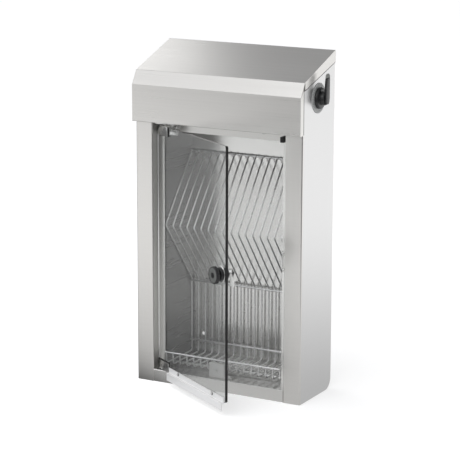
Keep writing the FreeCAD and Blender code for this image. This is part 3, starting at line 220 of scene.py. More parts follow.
brushed, grain_in, grain_out = shader_group(
    "brushed_grain",
    (("Light", "Color"), ("Dark", "Color"), ("Streaks", "Vector"), ("Smooth", "Float"), ("Rough", "Float")),
    (("Color", "Color"), ("Roughness", "Float"), ("Height", "Float")),
)
grain_place = brushed.nodes.new("ShaderNodeTexCoord")
grain_stretch = brushed.nodes.new("ShaderNodeMapping")
grain_streaks = brushed.nodes.new("ShaderNodeTexNoise")
grain_streaks.inputs["Scale"].default_value = 1.0
grain_streaks.inputs["Detail"].default_value = 4.0
grain_clouds = brushed.nodes.new("ShaderNodeTexNoise")
grain_clouds.inputs["Scale"].default_value = 9.0
grain_clouds.inputs["Detail"].default_value = 2.0
grain_tone = brushed.nodes.new("ShaderNodeMix")
grain_tone.data_type = "RGBA"
brushed.links.new(grain_place.outputs["Object"], grain_stretch.inputs["Vector"])
brushed.links.new(grain_in.outputs["Streaks"], grain_stretch.inputs["Scale"])
brushed.links.new(grain_stretch.outputs["Vector"], grain_streaks.inputs["Vector"])
brushed.links.new(grain_place.outputs["Object"], grain_clouds.inputs["Vector"])
brushed.links.new(grain_streaks.outputs["Fac"], grain_tone.inputs["Factor"])
brushed.links.new(grain_in.outputs["Dark"], grain_tone.inputs[6])
brushed.links.new(grain_in.outputs["Light"], grain_tone.inputs[7])
cloud_share = 0.35
grain_blend = reckoned(brushed, "MULTIPLY_ADD", grain_clouds.outputs["Fac"], cloud_share,
                       grain_streaks.outputs["Fac"])
grain_gloss = ramp(brushed, grain_blend, 0.45, 0.9, 0.0, 1.0)
brushed.links.new(grain_in.outputs["Smooth"], grain_gloss.node.inputs["To Min"])
brushed.links.new(grain_in.outputs["Rough"], grain_gloss.node.inputs["To Max"])
brushed.links.new(grain_tone.outputs[2], grain_out.inputs["Color"])
brushed.links.new(grain_gloss, grain_out.inputs["Roughness"])
brushed.links.new(grain_streaks.outputs["Fac"], grain_out.inputs["Height"])


def stainless(name, streaks, light, dark, smooth, rough, depth):
    """Brushed stainless sheet; streaks gives the grain's fineness along X, Y and Z."""
    finish = bpy.data.materials.new(name)
    finish.use_nodes = True
    tree = finish.node_tree
    shader = tree.nodes["Principled BSDF"]
    shader.inputs["Metallic"].default_value = 1.0
    grain = tree.nodes.new("ShaderNodeGroup")
    grain.node_tree = brushed
    grain.inputs["Light"].default_value = (*light, 1)
    grain.inputs["Dark"].default_value = (*dark, 1)
    grain.inputs["Streaks"].default_value = streaks
    grain.inputs["Smooth"].default_value = smooth
    grain.inputs["Rough"].default_value = rough
    relief = tree.nodes.new("ShaderNodeBump")
    relief.inputs["Strength"].default_value = depth
    relief.inputs["Distance"].default_value = 0.2 * MM
    tree.links.new(grain.outputs["Color"], shader.inputs["Base Color"])
    tree.links.new(grain.outputs["Roughness"], shader.inputs["Roughness"])
    tree.links.new(grain.outputs["Height"], relief.inputs["Height"])
    tree.links.new(relief.outputs["Normal"], shader.inputs["Normal"])
    return finish


def paint(piece, finish):
    """Give a piece one material."""
    piece.data.materials.clear()
    piece.data.materials.append(finish)


grain_up = (3, 3, 620)
grain_level = (3, 460, 3)
stile_sheet = stainless("casing_sheet", grain_up, (0.76, 0.75, 0.73), (0.72, 0.71, 0.69), 0.29, 0.32, 0.003)
side_sheet = stainless("side_sheet", grain_up, (0.74, 0.74, 0.74), (0.71, 0.71, 0.71), 0.29, 0.32, 0.003)
hood_sheet = stainless("hood_sheet", grain_up, (0.76, 0.75, 0.73), (0.69, 0.68, 0.66), 0.27, 0.33, 0.006)
# Painted light: back, base and door lips get a lighter copy of the steel, standing in for the light that
# falls on them.
painted_light_back_sheet = stainless("painted_light_chamber_sheet", grain_up, (0.88, 0.875, 0.86), (0.84, 0.835, 0.82), 0.22, 0.26, 0.003)
# Painted shade: the chamber walls get a much darker copy of the steel, standing in for the shade inside the
# chamber.
painted_shade_wall_sheet = stainless("painted_shade_wall_sheet", grain_up, (0.37, 0.365, 0.36), (0.355, 0.35, 0.345), 0.27, 0.29, 0.001)
level_sheet = stainless("level_sheet", grain_level, (0.76, 0.755, 0.74), (0.7, 0.695, 0.68), 0.2, 0.27, 0.01)
for node, sheet_finish in (
    ("casing_wrap", painted_light_back_sheet),
    ("left_side_panel", side_sheet),
    ("right_side_panel", side_sheet),
    ("stiles", stile_sheet),
    # Painted light: the door lips take the lighter copy of the steel, so they stand apart from the stiles.
    ("door_lips", painted_light_back_sheet),
    ("chamber_left_wall", painted_shade_wall_sheet),
    ("chamber_right_wall", painted_shade_wall_sheet),
    ("chamber_floor", level_sheet),
    ("top_rail", stile_sheet),
    ("lamp_tray", level_sheet),
    ("hood", hood_sheet),
    ("rack_hooks", stile_sheet),
):
    paint(cad[node], sheet_finish)


# Screws.
# Polished stainless pan heads with a cross recess, smudged from handling: the hood's two, the hinge
# bracket's two, the strike's two and the door switch's one.
def edges_of(made):
    """The edges among what an operator made."""
    return [item for item in made if isinstance(item, bmesh.types.BMEdge)]


def points_of(made):
    """The points among what an operator made."""
    return [item for item in made if isinstance(item, bmesh.types.BMVert)]


def edges_round(points):
    """The edges that meet the points, each once and in the same order on every run."""
    return list(dict.fromkeys(edge for point in points for edge in point.link_edges))


def ring_after(shape, ring, radius, height, place):
    """Draw the ring's edges out to the next radius and height of a turned shape."""
    drawn = bmesh.ops.extrude_edge_only(shape, edges=ring)["geom"]
    back = place.inverted()
    for point in points_of(drawn):
        local = back @ point.co
        around = Vector((local.x, local.y)).normalized() * radius
        point.co = place @ Vector((around.x, around.y, height))
    return edges_of(drawn)


def pan_head_screw(shape, place, head, head_height, shank, reach):
    """One screw along its own Z: the seat at 0, the head above it, the shank below."""
    top = place @ Matrix.Translation((0, 0, head_height))
    star_points = bmesh.ops.create_circle(shape, segments=16, radius=head * 0.5, matrix=top)["verts"]
    back = place.inverted()
    arm, flank, root = 1.0, 0.45, 0.3
    for index, point in enumerate(star_points):
        share = (arm, flank, root, flank)[index % 4]
        local = back @ point.co
        point.co = place @ Vector((local.x * share, local.y * share, head_height))
    ring = edges_round(star_points)
    recess_floor = bmesh.ops.extrude_edge_only(shape, edges=ring)["geom"]
    down = place.to_3x3() @ Vector((0, 0, -head_height * 0.6))
    bmesh.ops.translate(shape, verts=points_of(recess_floor), vec=down)
    bmesh.ops.edgeloop_fill(shape, edges=edges_of(recess_floor))
    for radius, height in (
        (head * 0.62, head_height * 0.97),
        (head * 0.85, head_height * 0.8),
        (head * 0.97, head_height * 0.45),
        (head, head_height * 0.1),
        (head * 0.96, 0),
        (shank, 0),
        (shank, -reach + shank * 0.4),
        (shank * 0.6, -reach),
    ):
        ring = ring_after(shape, ring, radius, height, place)
    bmesh.ops.edgeloop_fill(shape, edges=ring)


def at_seat(point, head_way):
    """The place of a screw or turned piece whose own Z points along head_way from its seat."""
    upright_turn = Vector(head_way).to_track_quat("Z", "Y").to_matrix().to_4x4()
    return Matrix.Translation(Vector(point) * MM) @ upright_turn


smudged, smudge_in, smudge_out = shader_group(
    "smudges",
    (("Clean", "Color"), ("Dull", "Color"), ("Size", "Float"), ("Smooth", "Float"), ("Rough", "Float")),
    (("Color", "Color"), ("Roughness", "Float"), ("Height", "Float")),
)
smudge_place = smudged.nodes.new("ShaderNodeTexCoord")
smudge_noise = smudged.nodes.new("ShaderNodeTexNoise")
smudge_noise.inputs["Detail"].default_value = 5.0
smudge_noise.inputs["Roughness"].default_value = 0.6
smudge_tone = smudged.nodes.new("ShaderNodeMix")
smudge_tone.data_type = "RGBA"
smudged.links.new(smudge_place.outputs["Object"], smudge_noise.inputs["Vector"])
smudged.links.new(smudge_in.outputs["Size"], smudge_noise.inputs["Scale"])
smudged.links.new(smudge_noise.outputs["Fac"], smudge_tone.inputs["Factor"])
smudged.links.new(smudge_in.outputs["Clean"], smudge_tone.inputs[6])
smudged.links.new(smudge_in.outputs["Dull"], smudge_tone.inputs[7])
smudge_gloss = ramp(smudged, smudge_noise.outputs["Fac"], 0.35, 0.68, 0.0, 1.0)
smudged.links.new(smudge_in.outputs["Smooth"], smudge_gloss.node.inputs["To Min"])
smudged.links.new(smudge_in.outputs["Rough"], smudge_gloss.node.inputs["To Max"])
smudged.links.new(smudge_tone.outputs[2], smudge_out.inputs["Color"])
smudged.links.new(smudge_gloss, smudge_out.inputs["Roughness"])
smudged.links.new(smudge_noise.outputs["Fac"], smudge_out.inputs["Height"])


def smudge(finish, clean, dull, size, smooth, rough):
    """Let the smudges set a finish's colour and gloss."""
    tree = finish.node_tree
    shader = tree.nodes["Principled BSDF"]
    marks = tree.nodes.new("ShaderNodeGroup")
    marks.node_tree = smudged
    marks.inputs["Clean"].default_value = (*clean, 1)
    marks.inputs["Dull"].default_value = (*dull, 1)
    marks.inputs["Size"].default_value = size
    marks.inputs["Smooth"].default_value = smooth
    marks.inputs["Rough"].default_value = rough
    tree.links.new(marks.outputs["Color"], shader.inputs["Base Color"])
    tree.links.new(marks.outputs["Roughness"], shader.inputs["Roughness"])
    return marks


def handled(name, clean, dull, smooth, rough, size=60.0, metallic=0.0, depth=0.0):
    """A finish whose tone and gloss wander a little, as on handled metal, moulded plastic or rubber."""
    finish = bpy.data.materials.new(name)
    finish.use_nodes = True
    tree = finish.node_tree
    shader = tree.nodes["Principled BSDF"]
    shader.inputs["Metallic"].default_value = metallic
    marks = smudge(finish, clean, dull, size, smooth, rough)
    if depth:
        relief = tree.nodes.new("ShaderNodeBump")
        relief.inputs["Strength"].default_value = depth
        relief.inputs["Distance"].default_value = 0.1 * MM
        tree.links.new(marks.outputs["Height"], relief.inputs["Height"])
        tree.links.new(relief.outputs["Normal"], shader.inputs["Normal"])
    return finish


def new_piece(name, shape, finish, body, slot, *replaced, sharp=38):
    """Finish a mesh, give it its material and hang it on its body."""
    bmesh.ops.remove_doubles(shape, verts=shape.verts, dist=0.001 * MM)
    bmesh.ops.recalc_face_normals(shape, faces=shape.faces)
    for face in shape.faces:
        face.smooth = True
    for edge in shape.edges:
        if len(edge.link_faces) == 2 and edge.calc_face_angle(0) > math.radians(sharp):
            edge.smooth = False
    mesh = bpy.data.meshes.new(name)
    shape.to_mesh(mesh)
    shape.free()
    piece = bpy.data.objects.new(name, mesh)
    bpy.context.scene.collection.objects.link(piece)
    piece.data.materials.append(finish)
    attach(piece, body)
    if replaced:
        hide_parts(*replaced)


stile_plane = -65
lip_plane = -42
floor_level = 24.5
hood_screw_height, bracket_screw_height = 506.5, 496
strike_across, strike_screw_low, strike_screw_high = 127.6, 248.5, 280.5
switch_screw_across = 19
hood_head = (3.5 * MM, 1.8 * MM, 2 * MM, 8 * MM)
small_head = (2.8 * MM, 1.6 * MM, 1.5 * MM, 6 * MM)
bright_metal = handled("bright_metal", (0.82, 0.82, 0.81), (0.7, 0.7, 0.69), 0.1, 0.28, metallic=1.0)
small_screw_shape = bmesh.new()
for seat, head_way, screw_size in (
    ((-100, stile_plane - 6, hood_screw_height), (0, 0, -1), hood_head),
    ((100, stile_plane - 6, hood_screw_height), (0, 0, -1), hood_head),
    ((-116, lip_plane - 2, bracket_screw_height), (0, -1, 0), small_head),
    ((-100, lip_plane - 2, bracket_screw_height), (0, -1, 0), small_head),
    ((strike_across, lip_plane - 1, strike_screw_low), (0, -1, 0), small_head),
    ((strike_across, lip_plane - 1, strike_screw_high), (0, -1, 0), small_head),
    ((switch_screw_across, stile_plane + 16, floor_level + 3), (0, 0, 1), small_head),
):
    pan_head_screw(small_screw_shape, at_seat(seat, head_way), *screw_size)
new_piece("small_screws_finished", small_screw_shape, bright_metal, "cabinet", "bright_steel", "small_screws")

# Hood seam.
# A thin black bead under the hood's side flanges and behind its cheeks, drawn round in one run: painted
# shade, standing in for the shadow in the gap along the seam.
seam_course = ((64.2, 626.0), (-54.3, 590.0), (-60.0, 588.4), (-64.9, 588.4), (-64.9, 507.4))
seam_near, seam_far, seam_taper = 175.05, 176.1, 0.3
seam_along, seam_upright = 1.9, 2.8
seal_rubber = handled("seal_rubber", (0.01, 0.01, 0.01), (0.03, 0.03, 0.03), 0.6, 0.85, 700.0, depth=0.4)
# Painted shade: this black bead stands in for the shadow in the seam's gap.
painted_shade_seam_shape = bmesh.new()
for side in (-1, 1):
    bead_end = None
    for index, spot in enumerate(seam_course):
        before = Vector(seam_course[max(index - 1, 0)])
        after = Vector(seam_course[min(index + 1, len(seam_course) - 1)])
        along = (after - before).normalized()
        below = Vector((-along.y, along.x)) * (seam_upright if index > 2 else seam_along)
        near_edge = Vector(spot)
        far_edge = near_edge + below
        corners = [
            Vector((side * across, *edge_spot)) * MM
            for across, edge_spot in (
                (seam_near, near_edge), (seam_far, near_edge),
                (seam_far - seam_taper, far_edge), (seam_near, far_edge),
            )
        ]
        if bead_end is None:
            bead_end = painted_shade_seam_shape.faces.new([painted_shade_seam_shape.verts.new(corner) for corner in corners])
            continue
        drawn = bmesh.ops.extrude_face_region(painted_shade_seam_shape, geom=[bead_end, *bead_end.edges])["geom"]
        bead_end = next(item for item in drawn if isinstance(item, bmesh.types.BMFace))
        for loop, corner in zip(bead_end.loops, corners):
            loop.vert.co = corner
new_piece("hood_seam_painted_shade", painted_shade_seam_shape, seal_rubber, "cabinet", "black_rubber")

# Rack.
# Seventeen bright wires, each bent from one length and welded to six thicker cross rods.
# The rack hangs by its top bar.
wire_radius = 1.5
rod_radius = 2.0
wire_pitch = 15.2
wire_count = 17
rack_back, rack_front = 57, -42
rack_apex = (-41, 306)
rack_shoulder, rack_top, rack_knee, rack_floor, rack_rim = 433.5, 437, 181, 34, 58
wire_course = (
    (rack_back, rack_top), (rack_back, rack_shoulder), rack_apex, (rack_back, rack_knee),
    (rack_back, rack_floor), (rack_front, rack_floor), (rack_front, rack_rim),
)
wire_bends = (4, 5, 4, 6, 6)
wire_metal = handled("wire_metal", (0.88, 0.88, 0.88), (0.8, 0.8, 0.8), 0.26, 0.36, 140.0, metallic=1.0)


def bent_wire(shape, course, bends, radius, sides=10, bend_steps=5):
    """Form a round wire as a bending machine does: feed a straight run, swing it round a former, feed on.

    The rings of edges at its two cut ends are handed back.
    """
    heading = (course[1] - course[0]).normalized()
    stand = Matrix.Translation(course[0]) @ heading.to_track_quat("Z", "Y").to_matrix().to_4x4()
    first = bmesh.ops.create_circle(shape, segments=sides, radius=radius, matrix=stand)["verts"]
    ring = edges_round(first)
    ends = [ring]
    at = course[0]
    for corner, after, bend in zip(course[1:], course[2:], bends):
        heading = (corner - at).normalized()
        onward = (after - corner).normalized()
        turn = heading.angle(onward)
        setback = bend * math.tan(turn / 2)
        fed = bmesh.ops.extrude_edge_only(shape, edges=ring)["geom"]
        bend_start = corner - heading * setback
        bmesh.ops.translate(shape, verts=points_of(fed), vec=bend_start - at)
        axis = heading.cross(onward).normalized()
        former = bend_start + axis.cross(heading) * bend
        swung = bmesh.ops.spin(shape, geom=points_of(fed) + edges_of(fed), cent=former, axis=axis, angle=turn,
                               steps=bend_steps, use_merge=False)
        ring = edges_of(swung["geom_last"])
        at = corner + onward * setback
    fed = bmesh.ops.extrude_edge_only(shape, edges=ring)["geom"]
    bmesh.ops.translate(shape, verts=points_of(fed), vec=course[-1] - at)
    ends.append(edges_of(fed))
    return ends


wires_shape = bmesh.new()
wire_ends = []
for index in range(wire_count):
    across = (index - (wire_count - 1) / 2) * wire_pitch
    course = [Vector((across, depth, height)) * MM for depth, height in wire_course]
    wire_ends += bent_wire(wires_shape, course, [bend * MM for bend in wire_bends], wire_radius * MM)
for end in wire_ends:
    bmesh.ops.edgeloop_fill(wires_shape, edges=end)
# All the ends are rounded in one step. What is made in a mesh after a bevel is cut differently on each run.
bmesh.ops.bevel(wires_shape, geom=[edge for end in wire_ends for edge in end], offset=wire_radius * MM * 0.4,
                segments=2, profile=0.5, affect="EDGES", material=-1)
new_piece("rack_wires", wires_shape, wire_metal, "rack", "bright_wire", "rack_upper_wires",
          "rack_lower_wires", "rack_back_wires", "rack_floor_wires", "rack_front_wires")

weld_sink = 0.2
rod_touch = wire_radius + rod_radius - weld_sink
rod_places = (
    (rack_back + rod_touch, rack_shoulder + 1),
    (rack_back - rod_touch, rack_knee - 3),
    (rack_back - rod_touch, rack_floor + 24),
    (28, rack_floor - rod_touch),
    (-14, rack_floor - rod_touch),
    (rack_front - rod_touch, rack_rim - 1.5),
)
rod_length = (wire_pitch * (wire_count - 1) + 3) * MM
lengthways = Matrix.Rotation(math.radians(90), 4, "Y")
rods_shape = bmesh.new()
rod_rims = []
for depth, height in rod_places:
    rod_place = Matrix.Translation(Vector((0, depth, height)) * MM) @ lengthways
    made = bmesh.ops.create_cone(rods_shape, cap_ends=True, segments=14, radius1=rod_radius * MM,
                                 radius2=rod_radius * MM, depth=rod_length, matrix=rod_place)
    rod_rims += [edge for edge in edges_round(made["verts"])
                 if abs(edge.verts[0].co.x - edge.verts[1].co.x) < 0.1 * MM]
bmesh.ops.bevel(rods_shape, geom=rod_rims, offset=0.9 * MM, segments=3, profile=0.5, affect="EDGES",
                material=-1)
new_piece("rack_rods", rods_shape, wire_metal, "rack", "bright_wire", "rack_cross_rods")

# Door pane.
# Clear toughened glass five millimetres thick, faintly grey, with ground edges, holes for the lock and
# screws, and a black rubber strip along one edge. New pieces of the door are drawn shut and turned open.
hinge = next(joint for joint in frame["joints"] if joint["name"] == "door_hinge")
pin = Vector(hinge["pos_m"])
open_angle = math.radians(hinge["range_deg"][0])
door_turn = Matrix.Translation(pin) @ Matrix.Rotation(open_angle, 4, "Z") @ Matrix.Translation(-pin)


def clear_glass(name, refraction, *marks):
    """Glass with faint smudges; the marks are the clean and dull tint, their size and their gloss."""
    finish = bpy.data.materials.new(name)
    finish.use_nodes = True
    shader = finish.node_tree.nodes["Principled BSDF"]
    shader.inputs["Transmission Weight"].default_value = 1.0
    shader.inputs["IOR"].default_value = refraction
    smudge(finish, *marks)
    return finish


def dressed(node, body, finish, width, angle=30):
    """The node's shape with its edges broken, as a folded or moulded piece has them, and its finish."""
    mesh = cad[node].data.copy()
    shape = bmesh.new()
    shape.from_mesh(mesh)
    bmesh.ops.remove_doubles(shape, verts=shape.verts, dist=0.002 * MM)
    bmesh.ops.dissolve_limit(shape, angle_limit=math.radians(1), verts=shape.verts, edges=shape.edges)
    for face in shape.faces:
        face.smooth = True
    shape.to_mesh(mesh)
    shape.free()
    piece = bpy.data.objects.new(node + "_finished", mesh)
    bpy.context.scene.collection.objects.link(piece)
    broken = piece.modifiers.new("broken_edges", "BEVEL")
    broken.width = width * MM
    broken.segments = 2
    broken.limit_method = "ANGLE"
    broken.angle_limit = math.radians(angle)
    broken.harden_normals = True
    paint(piece, finish)
    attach(piece, body)
    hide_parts(node)


pane_glass = clear_glass("pane_glass", 1.5, (0.88, 0.89, 0.89), (0.85, 0.86, 0.86), 14.0, 0.0, 0.02)
paint(cad["door_glass"], pane_glass)
dressed("door_edge_strip", "door", seal_rubber, 0.25)

# Bottom profile and its screws.
# A satin anodised strip that covers the gap over the bottom rail. Two small screws with black washers
# hold it through the pane to nuts behind.
hinge_across = -124.2
pane_plane = stile_plane + 6.5 - 2.5
profile_gauge, washer_gauge = 1.2, 0.7
profile_screw_height = 33.5
profile_head = (2.4 * MM, 1.3 * MM, 1.9 * MM, 9.7 * MM)
washer_bore, nut_bore = 1.95, 2.05
profile_metal = handled("profile_metal", (0.93, 0.93, 0.93), (0.88, 0.88, 0.88), 0.35, 0.45, 160.0,
                        metallic=0.3, depth=0.05)
black_moulding = handled("black_moulding", (0.012, 0.012, 0.013), (0.028, 0.028, 0.03), 0.2, 0.36, 900.0,
                         depth=0.3)
dressed("door_bottom_profile", "door", profile_metal, 0.3)


def turned_ring(shape, bore, rings, place, sides):
    """A washer or nut, turned out from its bore through rings of radius and height."""
    inner = bmesh.ops.create_circle(shape, segments=sides, radius=bore * MM, matrix=place)["verts"]
    ring = edges_round(inner)
    for radius, height in rings:
        ring = ring_after(shape, ring, radius * MM, height * MM, place)


profile_screw_shape = bmesh.new()
washer_shape = bmesh.new()
for along_door in (72, 205):
    across = hinge_across + along_door
    head_seat = (across, pane_plane - profile_gauge - washer_gauge, profile_screw_height)
    head_place = door_turn @ at_seat(head_seat, (0, -1, 0))
    pan_head_screw(profile_screw_shape, head_place, *profile_head)
    turned_ring(washer_shape, washer_bore, (
        (3.0, 0.0), (3.3, -0.15), (3.3, -washer_gauge), (washer_bore, -washer_gauge), (washer_bore, 0.0),
    ), head_place, sides=28)
    nut_place = door_turn @ at_seat((across, pane_plane + 5, profile_screw_height), (0, 1, 0))
    turned_ring(profile_screw_shape, nut_bore, (
        (2.6, 0.0), (3.6, 0.0), (4.0, 0.25), (4.0, 2.15), (3.6, 2.4), (2.6, 2.4), (nut_bore, 2.1),
        (nut_bore, 0),
    ), nut_place, sides=24)
new_piece("profile_fasteners_finished", profile_screw_shape, bright_metal, "door", "bright_steel",
          "profile_fasteners")
new_piece("profile_washers", washer_shape, black_moulding, "door", "black_plastic")

# Hinges.
# Bright clips folded round the pane's corners over rubber pads, each with a grub screw and a pin in a black
# bush. The top bush sits in a bracket held by two screws, the bottom one in the chamber floor.
dressed("hinge_clips", "door", bright_metal, 0.35)
dressed("clip_pads", "door", seal_rubber, 0.1)
dressed("clip_grub_screws", "door", bright_metal, 0.2, angle=50)
dressed("hinge_pins", "door", bright_metal, 0.3, angle=50)
dressed("hinge_bushes", "cabinet", black_moulding, 0.2, angle=50)
dressed("top_hinge_bracket", "cabinet", bright_metal, 0.3)


# Lock.
# A threaded barrel with a black boss, held through the pane over a bright escutcheon by a nut. A fluted
# knob with a grey face turns a keyed plug, and the cam is screwed to its end.
def turned(shape, profile, place, steps=48):
    """Turn a profile of radius and height on its own Z axis, as on a lathe."""
    points = [shape.verts.new(place @ Vector((radius * MM, 0, height * MM))) for radius, height in profile]
    lines = [shape.edges.new(pair) for pair in zip(points, points[1:])]
    axis = (place.to_3x3() @ Vector((0, 0, 1))).normalized()
    bmesh.ops.spin(shape, geom=points + lines, cent=place.translation, axis=axis, angle=math.tau, steps=steps,
                   use_merge=True)


lock_across, lock_height = 112, 265
lock_place = door_turn @ at_seat((lock_across, pane_plane, lock_height), (0, -1, 0))
escutcheon_shape = bmesh.new()
turned(escutcheon_shape, (
    (7.9, 0.02), (15, 0.02), (15, 0.4), (14.4, 0.9), (13.4, 1.0), (7.9, 1.0), (7.9, 0.02),
), lock_place)
new_piece("lock_escutcheon_finished", escutcheon_shape, bright_metal, "door", "bright_steel",
          "lock_escutcheon")

plug_bore, barrel_radius, barrel_length = 3.1, 7.75, 19.5
boss_shape = bmesh.new()
turned(boss_shape, (
    (plug_bore, 0.0), (7.8, 0.0), (7.8, 0.9), (12, 1.05), (12, 4.2), (11.4, 5.0), (3.6, 5.0),
    (plug_bore, 4.6), (plug_bore, 0.0),
), lock_place)
new_piece("lock_body_finished", boss_shape, black_moulding, "door", "black_plastic", "lock_body")

thread_pitch, thread_turns, thread_start, thread_root = 1.0, 13, -5.6, 7.4
barrel_profile = [(plug_bore, 0.0), (plug_bore, -barrel_length), (7.2, -barrel_length)]
for turn_index in range(thread_turns, 0, -1):
    crest = thread_start - turn_index * thread_pitch
    barrel_profile += [(barrel_radius, crest), (thread_root, crest + thread_pitch / 2)]
barrel_profile += [(barrel_radius, thread_start), (barrel_radius, 0.0), (plug_bore, 0.0)]
barrel_shape = bmesh.new()
turned(barrel_shape, barrel_profile, lock_place)
new_piece("lock_barrel", barrel_shape, bright_metal, "door", "bright_steel")
dressed("lock_nut", "door", black_moulding, 0.4)

knob_shape = bmesh.new()
turned(knob_shape, (
    (3, 5.3), (6, 5.3), (6, 8.8), (6.8, 9.5), (14.6, 9.5), (16, 10.6), (16, 16.2), (15.2, 17.3), (14.2, 17.5),
    (13.6, 17.0), (13.6, 16.1), (5.1, 16.1), (5.1, 12.0), (3, 12.0), (3, 5.3),
), lock_place, steps=96)
lock_back = lock_place.inverted()
flutes, flute_depth, flutes_from = 24, 0.045, 14.5
for point in knob_shape.verts:
    local = lock_back @ point.co
    if math.hypot(local.x, local.y) > flutes_from * MM:
        wave = 0.5 - 0.5 * math.cos(flutes * math.atan2(local.y, local.x))
        share = 1 - flute_depth * wave ** 2
        point.co = lock_place @ Vector((local.x * share, local.y * share, local.z))
new_piece("lock_knob_finished", knob_shape, black_moulding, "lock", "black_plastic", "lock_knob", sharp=50)

face_shape = bmesh.new()
turned(face_shape, (
    (5.2, 16.1), (13.5, 16.1), (13.5, 17.1), (13.1, 17.3), (5.6, 17.3), (5.2, 17.1), (5.2, 16.1),
), lock_place)
knob_grey = handled("knob_grey", (0.16, 0.165, 0.16), (0.11, 0.115, 0.11), 0.3, 0.45, 900.0, depth=0.15)
new_piece("lock_knob_face_finished", face_shape, knob_grey, "lock", "grey_plastic", "lock_knob_face")
dressed("key_plug", "lock", black_moulding, 0.25, angle=50)
dressed("lock_cam", "lock", bright_metal, 0.3, angle=50)
cam_head = (4.5 * MM, 2.6 * MM, 1.8 * MM, 8 * MM)
cam_screw_shape = bmesh.new()
cam_seat = door_turn @ at_seat((lock_across, pane_plane + 24, lock_height), (0, 1, 0))
pan_head_screw(cam_screw_shape, cam_seat, *cam_head)
new_piece("cam_screw_finished", cam_screw_shape, bright_metal, "lock", "bright_steel", "cam_screw")

# Strike, buffer and door switch.
# A white strike and a black rubber buffer on the right lip. A white switch box on the floor, with a moulded
# plunger pushed out by a bright spring.
white_moulding = handled("white_moulding", (0.82, 0.82, 0.8), (0.74, 0.74, 0.72), 0.35, 0.5, 500.0,
                         depth=0.15)
dressed("strike_plate", "cabinet", white_moulding, 0.25)
dressed("door_buffer", "cabinet", seal_rubber, 0.5)
dressed("door_switch", "cabinet", white_moulding, 0.8)
dressed("switch_plunger", "plunger", white_moulding, 0.3, angle=50)
paint(cad["plunger_spring"], bright_metal)

# Timer.
# A grey moulded dial with printed ticks, clamped to the right panel by the nut on the timer's neck. The
# black knob on the shaft carries a flat lever with a grey tip.
dial_at = (175, -3, 567)
dial_finish = handled("dial_finish", (0.6, 0.61, 0.6), (0.52, 0.53, 0.52), 0.25, 0.4, 300.0)
dial_tree = dial_finish.node_tree
dial_place = dial_tree.nodes.new("ShaderNodeTexCoord")
dial_centred = dial_tree.nodes.new("ShaderNodeMapping")
dial_centred.inputs["Location"].default_value = -Vector(dial_at) * MM
dial_split = dial_tree.nodes.new("ShaderNodeSeparateXYZ")
dial_tree.links.new(dial_place.outputs["Object"], dial_centred.inputs["Vector"])
dial_tree.links.new(dial_centred.outputs["Vector"], dial_split.inputs["Vector"])
dial_depth, dial_height = dial_split.outputs["Y"], dial_split.outputs["Z"]
tick_count, tick_share = 36, 0.16
tick_inside, tick_outside = 22.5 * MM, 26.0 * MM
turn_share = reckoned(dial_tree, "DIVIDE", reckoned(dial_tree, "ARCTAN2", dial_depth, dial_height), math.tau)
tick_number = reckoned(dial_tree, "MULTIPLY", reckoned(dial_tree, "ADD", turn_share, 1.0), tick_count)
tick_mask = reckoned(dial_tree, "LESS_THAN", reckoned(dial_tree, "FRACT", tick_number), tick_share)
depth_squared = reckoned(dial_tree, "POWER", dial_depth, 2.0)
height_squared = reckoned(dial_tree, "POWER", dial_height, 2.0)
from_centre = reckoned(dial_tree, "SQRT", reckoned(dial_tree, "ADD", depth_squared, height_squared))
tick_band = reckoned(dial_tree, "MULTIPLY", reckoned(dial_tree, "GREATER_THAN", from_centre, tick_inside),
                     reckoned(dial_tree, "LESS_THAN", from_centre, tick_outside))
dial_ink = dial_tree.nodes.new("ShaderNodeMix")
dial_ink.data_type = "RGBA"
dial_ink.inputs[7].default_value = (0.03, 0.03, 0.03, 1)
dial_tree.links.new(reckoned(dial_tree, "MULTIPLY", tick_mask, tick_band), dial_ink.inputs["Factor"])
dial_tree.links.new(dial_tree.nodes["Group"].outputs["Color"], dial_ink.inputs[6])
dial_tree.links.new(dial_ink.outputs[2], dial_tree.nodes["Principled BSDF"].inputs["Base Color"])

dial_seat = at_seat(dial_at, (1, 0, 0))
dial_shape = bmesh.new()
turned(dial_shape, (
    (5.2, 0.0), (28, 0.0), (28, 0.6), (27.5, 1.0), (5.2, 1.0), (5.2, 0.0),
), dial_seat, steps=72)
new_piece("dial_plate_finished", dial_shape, dial_finish, "cabinet", "grey_plastic", "dial_plate")
dressed("timer_nut", "cabinet", bright_metal, 0.3)
paint(cad["timer_shaft"], bright_metal)
timer_knob_shape = bmesh.new()
turned(timer_knob_shape, (
    (9, 1.7), (19.2, 1.7), (19.9, 2.3), (19.9, 4.6), (18.6, 6.9), (17.6, 7.4), (13.4, 7.4), (12.4, 8.2),
    (12.4, 14.6), (11.6, 15.7), (10.6, 15.9), (0.0, 15.9), (0.0, 14.0), (4.1, 14.0), (4.1, 5.0), (9, 5.0),
    (9, 1.7),
), dial_seat, steps=64)
new_piece("timer_knob_finished", timer_knob_shape, black_moulding, "timer", "black_plastic", "timer_knob")
lever_inner, lever_outer = 190.2, 194.4


def lever_blade(shape, outline, soft):
    """A flat moulded blade across the knob from an outline of Y and Z, its edges rounded."""
    points = [shape.verts.new(Vector((lever_inner, depth, height)) * MM) for depth, height in outline]
    blade = shape.faces.new(points)
    drawn = bmesh.ops.extrude_face_region(shape, geom=[blade])["geom"]
    thickness = Vector((lever_outer - lever_inner, 0, 0)) * MM
    bmesh.ops.translate(shape, verts=points_of(drawn), vec=thickness)
    bmesh.ops.recalc_face_normals(shape, faces=shape.faces)
    rims = [edge for edge in shape.edges if abs(edge.verts[0].co.x - edge.verts[1].co.x) < 0.01 * MM]
    bmesh.ops.bevel(shape, geom=rims, offset=soft * MM, segments=3, profile=0.5, affect="EDGES", material=-1)


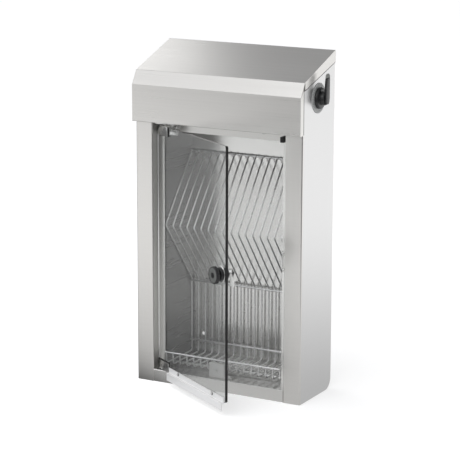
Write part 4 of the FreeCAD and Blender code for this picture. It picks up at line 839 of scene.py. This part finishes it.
tip_from = 605
lever_shape = bmesh.new()
lever_blade(lever_shape, (
    (-7.5, 556.5), (-10.6, 562), (-11.3, 570), (-11.0, 584), (-9.4, 596), (-7.6, tip_from), (5.2, tip_from),
    (5.4, 596), (5.4, 584), (5.2, 570), (4.4, 562), (1.5, 556.5),
), 1.3)
new_piece("timer_lever", lever_shape, black_moulding, "timer", "black_plastic")
grey_moulding = handled("grey_moulding", (0.3, 0.31, 0.29), (0.24, 0.25, 0.235), 0.35, 0.5, 900.0, depth=0.2)
tip_shape = bmesh.new()
lever_blade(tip_shape, (
    (-7.6, tip_from), (-7.0, 608.0), (-5.4, 611.0), (-2.6, 612.8), (0.6, 612.6), (3.4, 610.8), (4.8, 608.0),
    (5.2, tip_from),
), 1.2)
new_piece("lever_tip_finished", tip_shape, grey_moulding, "timer", "grey_plastic", "lever_tip")

# Lamp.
# A clear quartz tube with pressed metal caps, held by two white push-in holders under the tray.
lamp_glass = clear_glass("lamp_glass", 1.46, (0.95, 0.97, 1.0), (0.88, 0.9, 0.94), 60.0, 0.0, 0.06)
lamp_metal = handled("lamp_metal", (0.76, 0.76, 0.76), (0.62, 0.62, 0.62), 0.25, 0.4, 300.0, metallic=1.0)
paint(cad["lamp_tube"], lamp_glass)
dressed("lamp_caps", "cabinet", lamp_metal, 0.3, angle=50)
dressed("lamp_holders", "cabinet", white_moulding, 0.6, angle=50)

# Control gear.
# Ballast, starter, terminal block, timer case, earth stud and gland in the space under the hood, joined by
# single wires in dark insulation.
gear_enamel = handled("gear_enamel", (0.74, 0.74, 0.71), (0.64, 0.64, 0.61), 0.3, 0.5, 200.0, depth=0.15)
wire_cover = handled("wire_cover", (0.1, 0.1, 0.11), (0.06, 0.06, 0.065), 0.4, 0.6, 400.0)
for node, gear_finish, gear_slot, width in (
    ("timer_body", white_moulding, "white_plastic", 0.6),
    ("ballast", gear_enamel, "gear_paint", 0.5),
    ("ballast_screws", bright_metal, "bright_steel", 0.2),
    ("starter", white_moulding, "white_plastic", 0.6),
    ("starter_socket", white_moulding, "white_plastic", 0.5),
    ("terminal_block", white_moulding, "white_plastic", 0.4),
    ("earth_stud", bright_metal, "bright_steel", 0.2),
    ("cable_gland", black_moulding, "black_plastic", 0.5),
    ("gland_locknut", black_moulding, "black_plastic", 0.4),
):
    dressed(node, "cabinet", gear_finish, width, angle=50)
paint(cad["internal_wires"], wire_cover)
